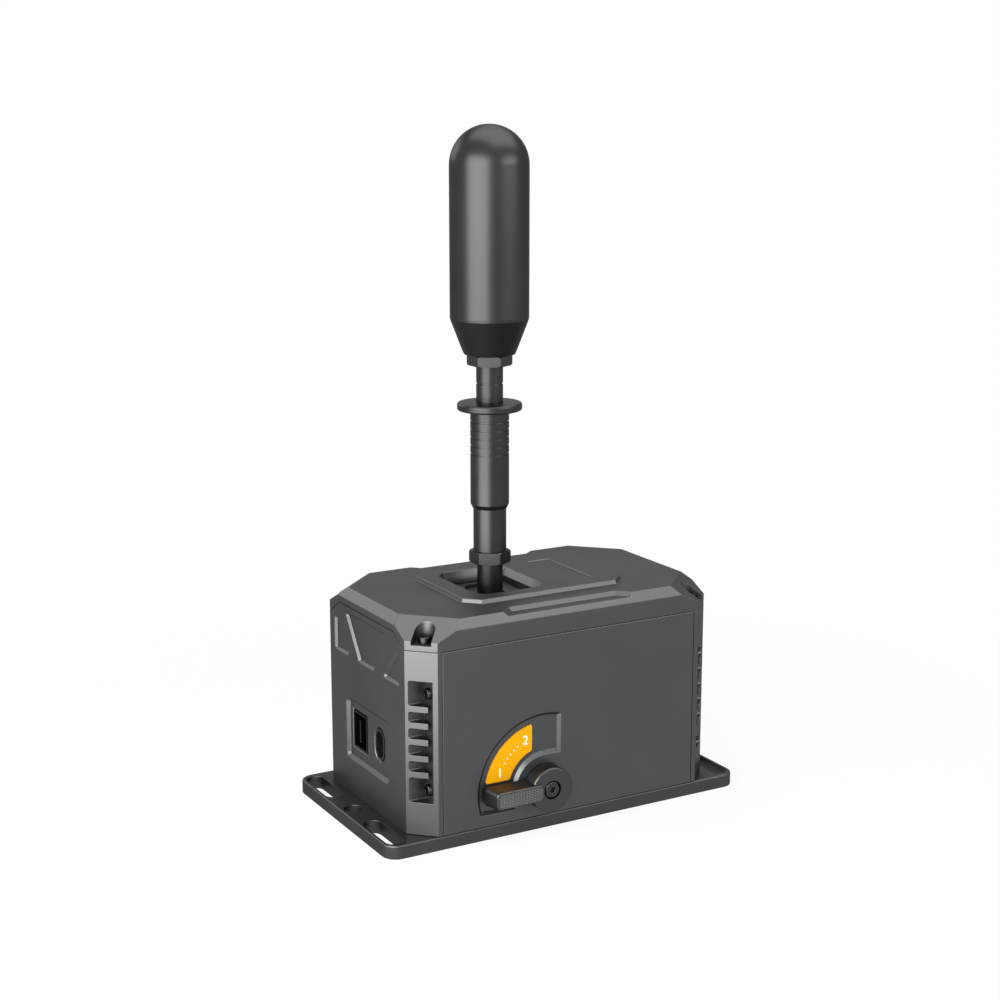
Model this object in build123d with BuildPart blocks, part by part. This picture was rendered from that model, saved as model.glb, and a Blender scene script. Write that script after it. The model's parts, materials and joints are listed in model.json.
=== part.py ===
from build123d import *
import math
import os

# Desktop gear shifter: a metal housing on a slotted plate, a tall lever in a gimbal, a mode knob.
# Lengths are in millimetres and angles in degrees.
# The origin is the centre of the plate's underside, +X along the housing away from the sockets,
# and -Y is the face that carries the mode knob.

# Housing
body_length = 160.0
body_width = 100.0
corner_cut = 10.8
plate_overhang = 14.0
plate_length = body_length + plate_overhang * 2
plate_width = body_width
plate_thickness = 6.4
plate_corner_radius = 7.0
seam_height = 91.6
cover_rise = 12.7
top_height = seam_height + cover_rise
bevel_inset = 4.3
bevel_drop = 3.8
facet_drop = 8.4
facet_height = top_height - facet_drop
facet_rise_share = 0.677
platform_length = 86.0
platform_width = 60.6
platform_height = 1.9
platform_corner = 7.0
panel_thickness = 7.0
casting_wall = 6.0
casting_reach = 13.0
pillar_depth = 12.0
seam_gap = 0.12
edge_break = 0.3
slip = 0.05
loose = 0.3
overrun = 5.0

# Lever and its gimbal
lever_x = -15.2
pivot_height = 58.0
shift_angle = 10.0
select_angle = 14.0
lever_radius = 6.0

# Mode knob
knob_height = 21.0
knob_turn = 90.0

half_length = body_length / 2
half_width = body_width / 2
body_low = plate_thickness
platform_top = top_height + platform_height
corner_signs = [(-1, -1), (-1, 1), (1, -1), (1, 1)]
root_half = math.sqrt(0.5)

os.makedirs("parts", exist_ok=True)


def save(part, label):
    part.label = label
    export_step(part, "parts/" + label + ".step")


def facing(x, y, z, direction):
    """A plane at a point with the given normal; with a level normal its own Y points up."""
    across = (1, 0, 0) if direction[2] else (-direction[1], direction[0], 0)
    return Plane(origin=(x, y, z), x_dir=across, z_dir=direction)


def sleeve(plane, outer, inner, length):
    """A round piece standing on a plane; an inner radius of zero makes it solid."""
    with BuildPart(mode=Mode.PRIVATE) as made:
        with BuildSketch(plane):
            Circle(outer)
            if inner:
                Circle(inner, mode=Mode.SUBTRACT)
        extrude(amount=length)
    return made.part


def about_lever(low, outer, inner, high):
    """A round piece around the lever's upright axis between two heights."""
    return sleeve(facing(lever_x, 0, low, (0, 0, 1)), outer, inner, high - low)


def screw(head_radius, head_height, shank_radius, shank_length, key_radius, key_depth):
    """A cap screw with its head's seat at the origin and its shank along -Z."""
    with BuildPart(mode=Mode.PRIVATE) as made:
        with BuildSketch():
            Circle(head_radius)
        extrude(amount=head_height)
        chamfer(made.faces().sort_by(Axis.Z)[-1].edges(), length=head_height / 8)
        with BuildSketch():
            Circle(shank_radius)
        extrude(amount=-shank_length)
        with BuildSketch(Plane.XY.offset(head_height)):
            RegularPolygon(key_radius, 6)
        extrude(amount=-key_depth, mode=Mode.SUBTRACT)
    return made.part


def flat_screw(head_radius, head_height, shank_radius, shank_length, key_radius):
    """A countersunk screw with the flat of its head at the origin and its shank along -Z."""
    with BuildPart(mode=Mode.PRIVATE) as made:
        with BuildSketch(Plane.XZ):
            with BuildLine():
                Polyline(
                    (0, 0),
                    (head_radius, 0),
                    (shank_radius, -head_height),
                    (shank_radius, -shank_length),
                    (0, -shank_length),
                    close=True,
                )
            make_face()
        revolve(axis=Axis.Z)
        with BuildSketch():
            RegularPolygon(key_radius, 6)
        extrude(amount=-head_height / 2, mode=Mode.SUBTRACT)
    return made.part


def coil(radius, wire, low, high, turns, x, y):
    """A compression spring about Z whose wire fills the space between two heights."""
    rise = high - low - wire
    pitch = rise / turns
    with BuildPart(mode=Mode.PRIVATE) as made:
        with BuildLine():
            path = Helix(pitch=pitch, height=rise, radius=radius)
        with BuildSketch(Plane(origin=path @ 0, z_dir=path % 0)):
            Circle(wire / 2)
        sweep(is_frenet=True)
    print("spring", "wire", wire, "turns", turns, "gap between curls", round(pitch - wire, 2))
    return Pos(x, y, low + wire / 2) * made.part


# Base plate: slots run along Y at both ends, one round hole stands between each pair
slot_end_inset = 6.0
slot_side_inset = 18.0
slot_x = plate_length / 2 - slot_end_inset
slot_y = plate_width / 2 - slot_side_inset
slot_length = 30.0
mount_hole_radius = 4.2
plate_edge_round = 0.8
base_screw_end_inset = 7.8
base_screw_side_inset = 8.6
base_screw_x = half_length - base_screw_end_inset
base_screw_y = half_width - base_screw_side_inset
base_screw_shank = 2.0
base_screw_head = 4.0
base_screw_head_height = base_screw_head - base_screw_shank
base_screw_length = 16.0
base_screw_key = 1.5
frame_screw_x = 20.5
frame_screw_y = 17.5
frame_screw_shank = 2.0
frame_screw_head = 3.5
frame_screw_head_height = 2.8
frame_screw_length = 9.0
frame_screw_key = 1.6

base_screw_seats = [
    facing(sx * base_screw_x, sy * base_screw_y, 0, (0, 0, -1)) for sx, sy in corner_signs
]
frame_screw_spots = [(lever_x + sx * frame_screw_x, sy * frame_screw_y) for sx, sy in corner_signs]

with BuildPart() as base_plate:
    with BuildSketch():
        RectangleRounded(plate_length, plate_width, plate_corner_radius)
    extrude(amount=plate_thickness)
    fillet(base_plate.faces().sort_by(Axis.Z)[-1].edges(), radius=plate_edge_round)
    with BuildSketch():
        with Locations(*[(sx * slot_x, sy * slot_y) for sx, sy in corner_signs]):
            SlotOverall(slot_length, mount_hole_radius * 2, rotation=90)
        with Locations((-slot_x, 0), (slot_x, 0)):
            Circle(mount_hole_radius)
    extrude(amount=plate_thickness, mode=Mode.SUBTRACT)
    with Locations(*base_screw_seats):
        CounterSinkHole(base_screw_shank + slip, base_screw_head + slip, plate_thickness, 90)
    with Locations(*[(x, y, plate_thickness) for x, y in frame_screw_spots]):
        Hole(frame_screw_shank + slip, plate_thickness)
save(base_plate.part, "base_plate")

base_screw = flat_screw(
    base_screw_head, base_screw_head_height, base_screw_shank, base_screw_length, base_screw_key
)
with BuildPart() as base_screws:
    with Locations(*base_screw_seats):
        add(base_screw)
save(base_screws.part, "base_screws")

# End castings: an end wall with a pillar at each corner, pockets with ribs in the cut corners
tongue_top_inset = 21.5
tongue_low_inset = 13.0
tongue_half_top = half_width - tongue_top_inset
tongue_half_low = half_width - tongue_low_inset
tongue_rise = 5.7
tongue_top = seam_height + tongue_rise
tongue_thickness = 5.0
pocket_floor = 15.4
pocket_roof = 13.6
pocket_low = body_low + pocket_floor
pocket_high = seam_height - pocket_roof
pocket_left = 1.0
pocket_corner_round = 1.0
pocket_right = 1.7
rib_count = 5
rib_end_space = 12.9
rib_thickness = 2.75
rib_gap = 1.6
panel_screw_inset = 4.8
panel_screw_margin = 5.8
panel_screw_y = half_width - panel_screw_inset
panel_screw_low = pocket_low + panel_screw_margin
panel_screw_high = pocket_high - panel_screw_margin
panel_screw_head = 2.6
panel_screw_head_height = 2.0
panel_screw_shank = 1.5
panel_screw_length = 11.0
panel_screw_key = 1.3
panel_screw_key_depth = 1.2
cover_screw_reach = 5.4
cover_screw_shank = 1.5
cover_screw_head = 2.75
cover_screw_head_height = 3.0
cover_screw_length = 12.0
cover_screw_key = 1.3
cover_screw_key_depth = 1.6
relief_depth = 1.1
relief_taper = 50.0
relief_corner = 1.6
relief_rise = 3.0
relief_drop = 18.2
relief_side_rise = 1.0
relief_side_inset = 16.0
relief_top = seam_height + relief_rise
relief_low = seam_height - relief_drop
relief_top_half = 22.4
relief_low_half = 7.6
relief_side_out = half_width - relief_side_inset
relief_side_in = 16.6
relief_side_top = seam_height + relief_side_rise
socket_rise = 32.4
socket_height = body_low + socket_rise
socket_relief_half = 22.5
socket_relief_drop = 15.5
socket_relief_rise = 14.8
socket_relief_low = socket_height - socket_relief_drop
socket_relief_high = socket_height + socket_relief_rise
socket_relief_depth = 1.5
socket_relief_corner = 3.0
data_hole_y = 10.6
data_hole_width = 14.6
data_hole_height = 18.2
aux_hole_y = -10.0
aux_hole_width = 9.4
aux_hole_height = 15.0
data_lip = 0.7
aux_lip = 1.0
lip_taper = 45.0
board_inset = 14.0
board_x = half_length - board_inset
board_width = 52.0
board_height = 44.0
board_thickness = 1.6
board_post_y = 22.5
board_post_z = 18.0
board_post_radius = 3.0
board_screw_shank = 1.25

pillar_x = half_length - corner_cut
pillar_y = half_width - corner_cut
pocket_corner_x = pillar_x + pocket_right
pocket_corner_y = pillar_y + pocket_left
cut_sum = pillar_x + half_width
pocket_mid = (pocket_low + pocket_high) / 2
rib_pitch = (pocket_high - pocket_low - rib_end_space * 2) / (rib_count - 1)
cover_screw_inset = cover_screw_reach * root_half
cover_screw_x = half_length - corner_cut / 2 - cover_screw_inset
cover_screw_y = half_width - corner_cut / 2 - cover_screw_inset
wall_inside = half_length - casting_wall
casting_inside = half_length - casting_reach
pillar_inside = half_width - pillar_depth


def end_casting(side, has_sockets):
    """One end of the housing; side is -1 for the socket end and 1 for the plain end."""
    with BuildPart(mode=Mode.PRIVATE) as made:
        with BuildSketch(Plane.XY.offset(body_low)):
            with BuildLine():
                Polyline(
                    (side * half_length, -pillar_y),
                    (side * pillar_x, -half_width),
                    (side * casting_inside, -half_width),
                    (side * casting_inside, -pillar_inside),
                    (side * wall_inside, -pillar_inside),
                    (side * wall_inside, pillar_inside),
                    (side * casting_inside, pillar_inside),
                    (side * casting_inside, half_width),
                    (side * pillar_x, half_width),
                    (side * half_length, pillar_y),
                    close=True,
                )
            make_face()
        extrude(amount=seam_height - body_low)
        rims = made.faces().filter_by(Axis.Z).edges()
        outer = rims.filter_by(lambda e: abs(e.center().X) > casting_inside)
        chamfer(outer.filter_by(lambda e: abs(e.center().Y) > pillar_y), length=edge_break)
        with BuildSketch(Plane.YZ.offset(side * half_length)):
            with BuildLine():
                Polyline(
                    (-tongue_half_low + seam_gap, seam_height - seam_gap),
                    (-tongue_half_top + seam_gap, tongue_top - seam_gap),
                    (tongue_half_top - seam_gap, tongue_top - seam_gap),
                    (tongue_half_low - seam_gap, seam_height - seam_gap),
                    close=True,
                )
            make_face()
        extrude(amount=-side * tongue_thickness)
        for face_side in (-1, 1):
            with BuildSketch(Plane.XY.offset(pocket_low)):
                with BuildLine():
                    Polyline(
                        (side * pocket_corner_x, face_side * pocket_corner_y),
                        (side * (cut_sum - pocket_corner_y + overrun), face_side * pocket_corner_y),
                        (side * pocket_corner_x, face_side * (cut_sum - pocket_corner_x + overrun)),
                        close=True,
                    )
                make_face()
            extrude(amount=pocket_high - pocket_low, mode=Mode.SUBTRACT)
            for index in range(rib_count):
                rib_low = pocket_mid + (index - (rib_count - 1) / 2) * rib_pitch - rib_thickness / 2
                rib_start = pocket_corner_x + rib_gap
                with BuildSketch(Plane.XY.offset(rib_low)):
                    with BuildLine():
                        Polyline(
                            (side * rib_start, face_side * pocket_corner_y),
                            (side * (cut_sum - pocket_corner_y), face_side * pocket_corner_y),
                            (side * rib_start, face_side * (cut_sum - rib_start)),
                            close=True,
                        )
                    make_face()
                extrude(amount=rib_thickness)
            wall_edges = made.edges().filter_by(Axis.X).filter_by(
                lambda e: abs(e.center().Y - face_side * pocket_corner_y) < slip
                and pocket_low - slip < e.center().Z < pocket_high + slip
            )
            fillet(wall_edges, radius=pocket_corner_round)
            with Locations(
                facing(side * pocket_corner_x, face_side * panel_screw_y, panel_screw_low, (side, 0, 0)),
                facing(side * pocket_corner_x, face_side * panel_screw_y, panel_screw_high, (side, 0, 0)),
            ):
                Hole(panel_screw_shank + slip, pillar_depth)
            with Locations((side * cover_screw_x, face_side * cover_screw_y, seam_height)):
                Hole(cover_screw_shank + slip, cover_screw_length)
            with Locations(facing(side * base_screw_x, face_side * base_screw_y, body_low, (0, 0, -1))):
                Hole(base_screw_shank + slip, base_screw_length - plate_thickness + loose)
        end_plane = facing(side * half_length, 0, 0, (side, 0, 0))
        with BuildSketch(end_plane) as relief_sketch:
            with BuildLine():
                Polyline(
                    (-relief_top_half, relief_top),
                    (relief_top_half, relief_top),
                    (relief_low_half, relief_low),
                    (-relief_low_half, relief_low),
                    close=True,
                )
            make_face()
            for face_side in (-1, 1):
                with BuildLine():
                    Polyline(
                        (face_side * relief_side_out, relief_side_top),
                        (face_side * relief_side_out, relief_low),
                        (face_side * relief_side_in, relief_low),
                        close=True,
                    )
                make_face()
            fillet(relief_sketch.vertices(), radius=relief_corner)
        extrude(amount=-relief_depth, taper=relief_taper, mode=Mode.SUBTRACT)
        if has_sockets:
            with BuildSketch(end_plane):
                with Locations((0, (socket_relief_low + socket_relief_high) / 2)):
                    RectangleRounded(
                        socket_relief_half * 2, socket_relief_high - socket_relief_low, socket_relief_corner
                    )
            extrude(amount=-socket_relief_depth, taper=relief_taper, mode=Mode.SUBTRACT)
            with BuildSketch(end_plane):
                with Locations((side * data_hole_y, socket_height)):
                    Rectangle(data_hole_width, data_hole_height)
                with Locations((side * aux_hole_y, socket_height)):
                    SlotOverall(aux_hole_height, aux_hole_width, rotation=90)
            extrude(amount=-casting_wall, mode=Mode.SUBTRACT)
            lip_plane = facing(side * (half_length - socket_relief_depth), 0, 0, (side, 0, 0))
            with BuildSketch(lip_plane):
                with Locations((side * data_hole_y, socket_height)):
                    Rectangle(data_hole_width + data_lip * 2, data_hole_height + data_lip * 2)
            extrude(amount=-data_lip, taper=lip_taper, mode=Mode.SUBTRACT)
            with BuildSketch(lip_plane):
                with Locations((side * aux_hole_y, socket_height)):
                    SlotOverall(aux_hole_height + aux_lip * 2, aux_hole_width + aux_lip * 2, rotation=90)
            extrude(amount=-aux_lip, taper=lip_taper, mode=Mode.SUBTRACT)
            for sy, sz in corner_signs:
                post_height = socket_height + sz * board_post_z
                with Locations(facing(side * wall_inside, sy * board_post_y, post_height, (-side, 0, 0))):
                    Hole(board_screw_shank + slip, casting_wall / 2)
    return made.part


port_end_casting = end_casting(-1, True)
save(port_end_casting, "port_end_casting")
plain_end_casting = end_casting(1, False)
save(plain_end_casting, "plain_end_casting")

# Side panels between the castings, held by screws that run along X from the corner pockets
panel_end = casting_inside - seam_gap
panel_height = seam_height - body_low - seam_gap
panel_boss_width = 10.0
panel_boss_depth = 11.0
dial_outer_radius = 34.3
dial_inner_radius = 14.2
dial_margin = 9.1
dial_depth = 1.6
dial_taper = 45.0
bush_flange_radius = 6.8
bush_flange_thickness = 1.2
bush_radius = 5.5
rail_screw_left = -10.0
rail_screw_right = 17.0
rail_screw_rise = 11.6
rail_screw_shank = 1.25
rail_screw_bite = 1.9
rail_screw_spots = [(x, sz * rail_screw_rise) for x in (rail_screw_left, rail_screw_right) for sz in (-1, 1)]


def side_panel(side, has_dial):
    """A flat panel with a screw boss at each end; side is -1 for the knob's face."""
    with BuildPart(mode=Mode.PRIVATE) as made:
        with BuildSketch(Plane.XY.offset(body_low)):
            with Locations((0, side * (half_width - panel_thickness / 2))):
                Rectangle(panel_end * 2, panel_thickness)
            boss_x = panel_end - panel_boss_width / 2
            boss_y = side * (half_width - panel_boss_depth / 2)
            with Locations((-boss_x, boss_y), (boss_x, boss_y)):
                Rectangle(panel_boss_width, panel_boss_depth)
        extrude(amount=panel_height)
        outside = made.faces().sort_by(Axis.Y)[0 if side < 0 else -1]
        chamfer(outside.edges(), length=edge_break)
        for end_side in (-1, 1):
            for screw_height in (panel_screw_low, panel_screw_high):
                screw_plane = facing(
                    end_side * panel_end, side * panel_screw_y, screw_height, (end_side, 0, 0)
                )
                with Locations(screw_plane):
                    Hole(panel_screw_shank + slip, panel_boss_width - overrun / 2)
        if has_dial:
            square = dial_outer_radius * 2
            with BuildSketch(facing(lever_x, side * half_width, knob_height, (0, side, 0))):
                Circle(dial_outer_radius)
                with Locations((dial_margin, -dial_margin)):
                    Rectangle(square, square, align=(Align.MAX, Align.MIN), mode=Mode.INTERSECT)
                Circle(dial_inner_radius, mode=Mode.SUBTRACT)
                with Locations((0, dial_inner_radius), (-dial_inner_radius, 0)):
                    Rectangle(square, square, align=(Align.MIN, Align.MAX), mode=Mode.SUBTRACT)
            extrude(amount=-dial_depth, taper=dial_taper, mode=Mode.SUBTRACT)
            with Locations(facing(lever_x, side * half_width, knob_height, (0, side, 0))):
                Hole(bush_radius + slip, panel_thickness)
            with Locations(
                *[
                    facing(lever_x + x, side * (half_width - panel_thickness), knob_height + z, (0, -side, 0))
                    for x, z in rail_screw_spots
                ]
            ):
                Hole(rail_screw_shank + slip, rail_screw_bite)
    return made.part


front_panel = side_panel(-1, True)
save(front_panel, "front_panel")
back_panel = side_panel(1, False)
save(back_panel, "back_panel")

panel_screw = screw(
    panel_screw_head,
    panel_screw_head_height,
    panel_screw_shank,
    panel_screw_length,
    panel_screw_key,
    panel_screw_key_depth,
)
with BuildPart() as panel_screws:
    for end_side, face_side in corner_signs:
        for screw_height in (panel_screw_low, panel_screw_high):
            seat_x = end_side * pocket_corner_x
            with Locations(facing(seat_x, face_side * panel_screw_y, screw_height, (end_side, 0, 0))):
                add(panel_screw)
save(panel_screws.part, "panel_screws")

# Top cover: bevelled edges, sloped corner facets, a low platform with the lever's opening
ceiling_drop = 4.2
ceiling_height = top_height - ceiling_drop
cover_end_wall = 18.0
cover_side_wall = 6.0
cover_cavity_length = body_length - cover_end_wall * 2
cover_cavity_width = body_width - cover_side_wall * 2
edge_relief_outer = 34.0
edge_relief_inner = 28.2
edge_relief_reach = 9.8
edge_relief_depth = 1.7
edge_relief_taper = 45.0
slope_taper = 20.0
opening_length = 36.6
opening_width = 44.4
opening_corner = 5.0
opening_bezel_depth = 3.4
opening_hole_length = 31.6
opening_hole_width = 41.6
opening_hole_corner = 2.5
plaque_x = 23.5
plaque_length = 12.0
plaque_width = 42.0
plaque_depth = 0.4
counterbore_radius = 4.6
counterbore_depth = 10.1
counterbore_floor = top_height - counterbore_depth
guide_screw_x = 26.0
guide_screw_y = 31.0
guide_screw_shank = 1.25
guide_screw_bite = 2.6
guide_screw_spots = [(lever_x + sx * guide_screw_x, sy * guide_screw_y) for sx, sy in corner_signs]

with BuildPart() as top_cover:
    with BuildSketch(Plane.XY.offset(seam_height)) as cover_outline:
        Rectangle(body_length, body_width)
        chamfer(cover_outline.vertices(), length=corner_cut)
    extrude(amount=top_height - seam_height)
    top_face = top_cover.faces().sort_by(Axis.Z)[-1]
    top_edges = top_face.edges().filter_by(lambda e: e.length > body_width / 2)
    chamfer(top_edges, length=bevel_inset, length2=bevel_drop, reference=top_face)
    facet_run = (top_height - facet_height) / facet_rise_share + overrun
    facet_rise = facet_run * facet_rise_share
    for sx, sy in corner_signs:
        cut_plane = Plane(
            origin=(sx * (half_length - corner_cut / 2), sy * (half_width - corner_cut / 2), 0),
            x_dir=(-sx, -sy, 0),
            z_dir=(-sy * root_half, sx * root_half, 0),
        )
        with BuildSketch(cut_plane):
            with BuildLine():
                Polyline(
                    (0, facet_height),
                    (facet_run, facet_height + facet_rise),
                    (-overrun, facet_height + facet_rise),
                    (-overrun, facet_height),
                    close=True,
                )
            make_face()
        extrude(amount=body_width / 2, both=True, mode=Mode.SUBTRACT)
    with BuildSketch(Plane.XY.offset(top_height)) as platform_outline:
        Rectangle(platform_length, platform_width)
        chamfer(platform_outline.vertices(), length=platform_corner)
    extrude(amount=platform_height, taper=slope_taper)
    for sy in (-1, 1):
        with BuildSketch(Plane.XY.offset(top_height)):
            with BuildLine():
                Polyline(
                    (-edge_relief_outer, sy * (half_width + overrun)),
                    (-edge_relief_outer, sy * (half_width - bevel_inset)),
                    (-edge_relief_inner, sy * (half_width - edge_relief_reach)),
                    (edge_relief_inner, sy * (half_width - edge_relief_reach)),
                    (edge_relief_outer, sy * (half_width - bevel_inset)),
                    (edge_relief_outer, sy * (half_width + overrun)),
                    close=True,
                )
            make_face()
        extrude(amount=-edge_relief_depth, taper=edge_relief_taper, mode=Mode.SUBTRACT)
    with BuildSketch(Plane.XY.offset(platform_top)):
        with Locations((plaque_x, 0)):
            Rectangle(plaque_length, plaque_width)
    extrude(amount=-plaque_depth, taper=slope_taper, mode=Mode.SUBTRACT)
    for level, length, width, corner in (
        (platform_top, opening_length, opening_width, opening_corner),
        (platform_top - opening_bezel_depth, opening_hole_length, opening_hole_width, opening_hole_corner),
    ):
        with BuildSketch(Plane.XY.offset(level)) as bezel_outline:
            with Locations((lever_x, 0)):
                Rectangle(length, width)
            chamfer(bezel_outline.vertices(), length=corner)
    loft(mode=Mode.SUBTRACT)
    with BuildSketch(Plane.XY.offset(platform_top)) as hole_outline:
        with Locations((lever_x, 0)):
            Rectangle(opening_hole_length, opening_hole_width)
        chamfer(hole_outline.vertices(), length=opening_hole_corner)
    extrude(amount=seam_height - platform_top, mode=Mode.SUBTRACT)
    with BuildSketch(Plane.XY.offset(seam_height)):
        Rectangle(cover_cavity_length, cover_cavity_width)
    extrude(amount=ceiling_height - seam_height, mode=Mode.SUBTRACT)
    with BuildSketch(Plane.YZ):
        with BuildLine():
            Polyline(
                (-tongue_half_low - seam_gap, seam_height - overrun),
                (-tongue_half_low - seam_gap, seam_height),
                (-tongue_half_top - seam_gap, tongue_top + seam_gap),
                (tongue_half_top + seam_gap, tongue_top + seam_gap),
                (tongue_half_low + seam_gap, seam_height),
                (tongue_half_low + seam_gap, seam_height - overrun),
                close=True,
            )
        make_face()
    extrude(amount=body_length, both=True, mode=Mode.SUBTRACT)
    for sx, sy in corner_signs:
        screw_spot = (sx * cover_screw_x, sy * cover_screw_y, counterbore_floor)
        screw_plane = Plane(origin=screw_spot, x_dir=(sx, sy, 0), z_dir=(0, 0, 1))
        with BuildSketch(screw_plane):
            Circle(counterbore_radius)
            Rectangle(corner_cut, counterbore_radius * 2, align=(Align.MIN, Align.CENTER))
        extrude(amount=top_height - counterbore_floor, mode=Mode.SUBTRACT)
        with Locations(screw_spot):
            Hole(cover_screw_shank + loose, counterbore_floor - seam_height)
    with Locations(*[facing(x, y, ceiling_height, (0, 0, -1)) for x, y in guide_screw_spots]):
        Hole(guide_screw_shank + slip, guide_screw_bite)
save(top_cover.part, "top_cover")

cover_screw = screw(
    cover_screw_head,
    cover_screw_head_height,
    cover_screw_shank,
    cover_screw_length,
    cover_screw_key,
    cover_screw_key_depth,
)
with BuildPart() as cover_screws:
    with Locations(*[(sx * cover_screw_x, sy * cover_screw_y, counterbore_floor) for sx, sy in corner_signs]):
        add(cover_screw)
save(cover_screws.part, "cover_screws")

# Mode dial: a printed label in the panel's recess, a knob on a shaft, a cam behind the panel
label_outer_margin = 4.0
label_inner_margin = 3.6
label_thickness = 0.3
label_right = 5.6
label_low = 5.2
label_corner = 1.2
knob_gap = 0.3
knob_hub_radius = 10.5
knob_hub_length = 7.7
knob_hub_edge = 0.9
knob_arm_clearance = 3.3
knob_arm_slope = 1.7
knob_arm_half = 4.6
knob_arm_front_half = 4.0
knob_arm_thickness = 9.0
knob_arm_end = 4.9
knob_arm_corner = 2.0
knob_arm_edge = 0.6
knob_bore_depth = 3.7
mode_screw_head = 3.7
mode_screw_head_height = 2.4
mode_screw_well = 4.4
mode_screw_well_depth = 2.6
mode_screw_shank = 2.0
mode_screw_length = 10.0
mode_screw_key = 1.45
mode_screw_key_depth = 1.6
mode_shaft_radius = 4.0
mode_bush_inset = 0.2
cam_radius = 6.8
cam_thickness = 3.0
cam_pin_radius = 1.5
cam_pin_throw = 5.0
cam_pin_reach = 3.4
slide_thickness = 3.0
slide_half_length = 13.0
slide_half_height = 8.9
slide_arm_half = 4.0
slide_arm_gap = 3.0
slide_arm_thickness = 3.0
slide_arm_low = 17.0
slide_arm_high = 52.0
slide_tongue_reach = 2.0
slide_tongue_height = 4.0
rail_inner = 7.1
rail_outer = 14.2
rail_left = 14.0
rail_right = 21.0
rail_cover = 2.4
rail_screw_head = 2.1
rail_screw_head_height = 1.5
rail_screw_key = 1.1

label_outer = dial_outer_radius - label_outer_margin
label_inner = dial_inner_radius + label_inner_margin
knob_arm_length = dial_outer_radius - knob_arm_clearance - knob_arm_end
knob_arm_front_length = knob_arm_length - knob_arm_slope
outer_face = -half_width
inner_face = outer_face + panel_thickness
knob_back = outer_face - knob_gap
knob_front = knob_back - knob_arm_thickness
hub_front = knob_back - knob_hub_length
cam_front = inner_face + bush_flange_thickness + loose
slide_front = cam_front + cam_thickness + loose
slide_back = slide_front + slide_thickness
rail_back = slide_back + slip + rail_cover
arm_front = slide_back + slide_arm_gap
cam_phase = math.radians(knob_turn / 2)
cam_pin_x = -cam_pin_throw * math.sin(cam_phase)
cam_pin_z = cam_pin_throw * math.cos(cam_phase)
slide_travel = 2 * cam_pin_throw * math.sin(cam_phase)

with BuildPart() as dial_label:
    with BuildSketch(facing(lever_x, outer_face + dial_depth, knob_height, (0, -1, 0))):
        Circle(label_outer)
        Circle(label_inner, mode=Mode.SUBTRACT)
        with Locations((-label_right, label_low)):
            Rectangle(label_outer, label_outer, align=(Align.MAX, Align.MIN), mode=Mode.INTERSECT)
    extrude(amount=label_thickness)
    fillet(dial_label.edges().filter_by(Axis.Y), radius=label_corner)
save(dial_label.part, "dial_label")

with BuildPart() as knob_hub:
    add(sleeve(facing(lever_x, knob_back, knob_height, (0, -1, 0)), knob_hub_radius, 0, knob_hub_length))
    fillet(knob_hub.faces().sort_by(Axis.Y)[0].edges(), radius=knob_hub_edge)

with BuildPart() as mode_knob:
    with BuildSketch(facing(lever_x - knob_arm_end, knob_back, knob_height, (0, -1, 0))):
        RectangleRounded(knob_arm_length, knob_arm_half * 2, knob_arm_corner, align=(Align.MAX, Align.CENTER))
    with BuildSketch(facing(lever_x - knob_arm_end, knob_front, knob_height, (0, -1, 0))):
        RectangleRounded(
            knob_arm_front_length, knob_arm_front_half * 2, knob_arm_corner, align=(Align.MAX, Align.CENTER)
        )
    loft()
    fillet(mode_knob.faces().sort_by(Axis.Y)[0].edges(), radius=knob_arm_edge)
    add(knob_hub.part)
    with Locations(facing(lever_x, hub_front, knob_height, (0, -1, 0))):
        CounterBoreHole(mode_screw_shank + slip, mode_screw_well, mode_screw_well_depth, knob_hub_length)
    with Locations(facing(lever_x, knob_back, knob_height, (0, 1, 0))):
        Hole(mode_shaft_radius + slip, knob_bore_depth)
save(mode_knob.part, "mode_knob")

with BuildPart() as mode_shaft:
    shaft_front = knob_back - knob_bore_depth + slip
    shaft_plane = facing(lever_x, shaft_front, knob_height, (0, 1, 0))
    add(sleeve(shaft_plane, mode_shaft_radius, 0, cam_front + cam_thickness - shaft_front))
    with Locations(facing(lever_x, shaft_front, knob_height, (0, -1, 0))):
        Hole(mode_screw_shank + slip, mode_screw_length)
save(mode_shaft.part, "mode_shaft")

mode_screw = screw(
    mode_screw_head,
    mode_screw_head_height,
    mode_screw_shank,
    mode_screw_length,
    mode_screw_key,
    mode_screw_key_depth,
)
with BuildPart() as mode_screw_placed:
    with Locations(facing(lever_x, hub_front + mode_screw_well_depth, knob_height, (0, -1, 0))):
        add(mode_screw)
save(mode_screw_placed.part, "mode_screw")

with BuildPart() as mode_bush:
    bush_plane = facing(lever_x, outer_face + mode_bush_inset, knob_height, (0, 1, 0))
    add(sleeve(bush_plane, bush_radius, mode_shaft_radius + slip, panel_thickness))
    flange_plane = facing(lever_x, inner_face, knob_height, (0, 1, 0))
    add(sleeve(flange_plane, bush_flange_radius, mode_shaft_radius + slip, bush_flange_thickness))
save(mode_bush.part, "mode_bush")

with BuildPart() as mode_cam:
    cam_plane = facing(lever_x, cam_front, knob_height, (0, 1, 0))
    add(sleeve(cam_plane, cam_radius, mode_shaft_radius + slip, cam_thickness))
    pin_plane = facing(lever_x + cam_pin_x, cam_front + cam_thickness, knob_height + cam_pin_z, (0, 1, 0))
    add(sleeve(pin_plane, cam_pin_radius, 0, cam_pin_reach))
save(mode_cam.part, "mode_cam")

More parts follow.
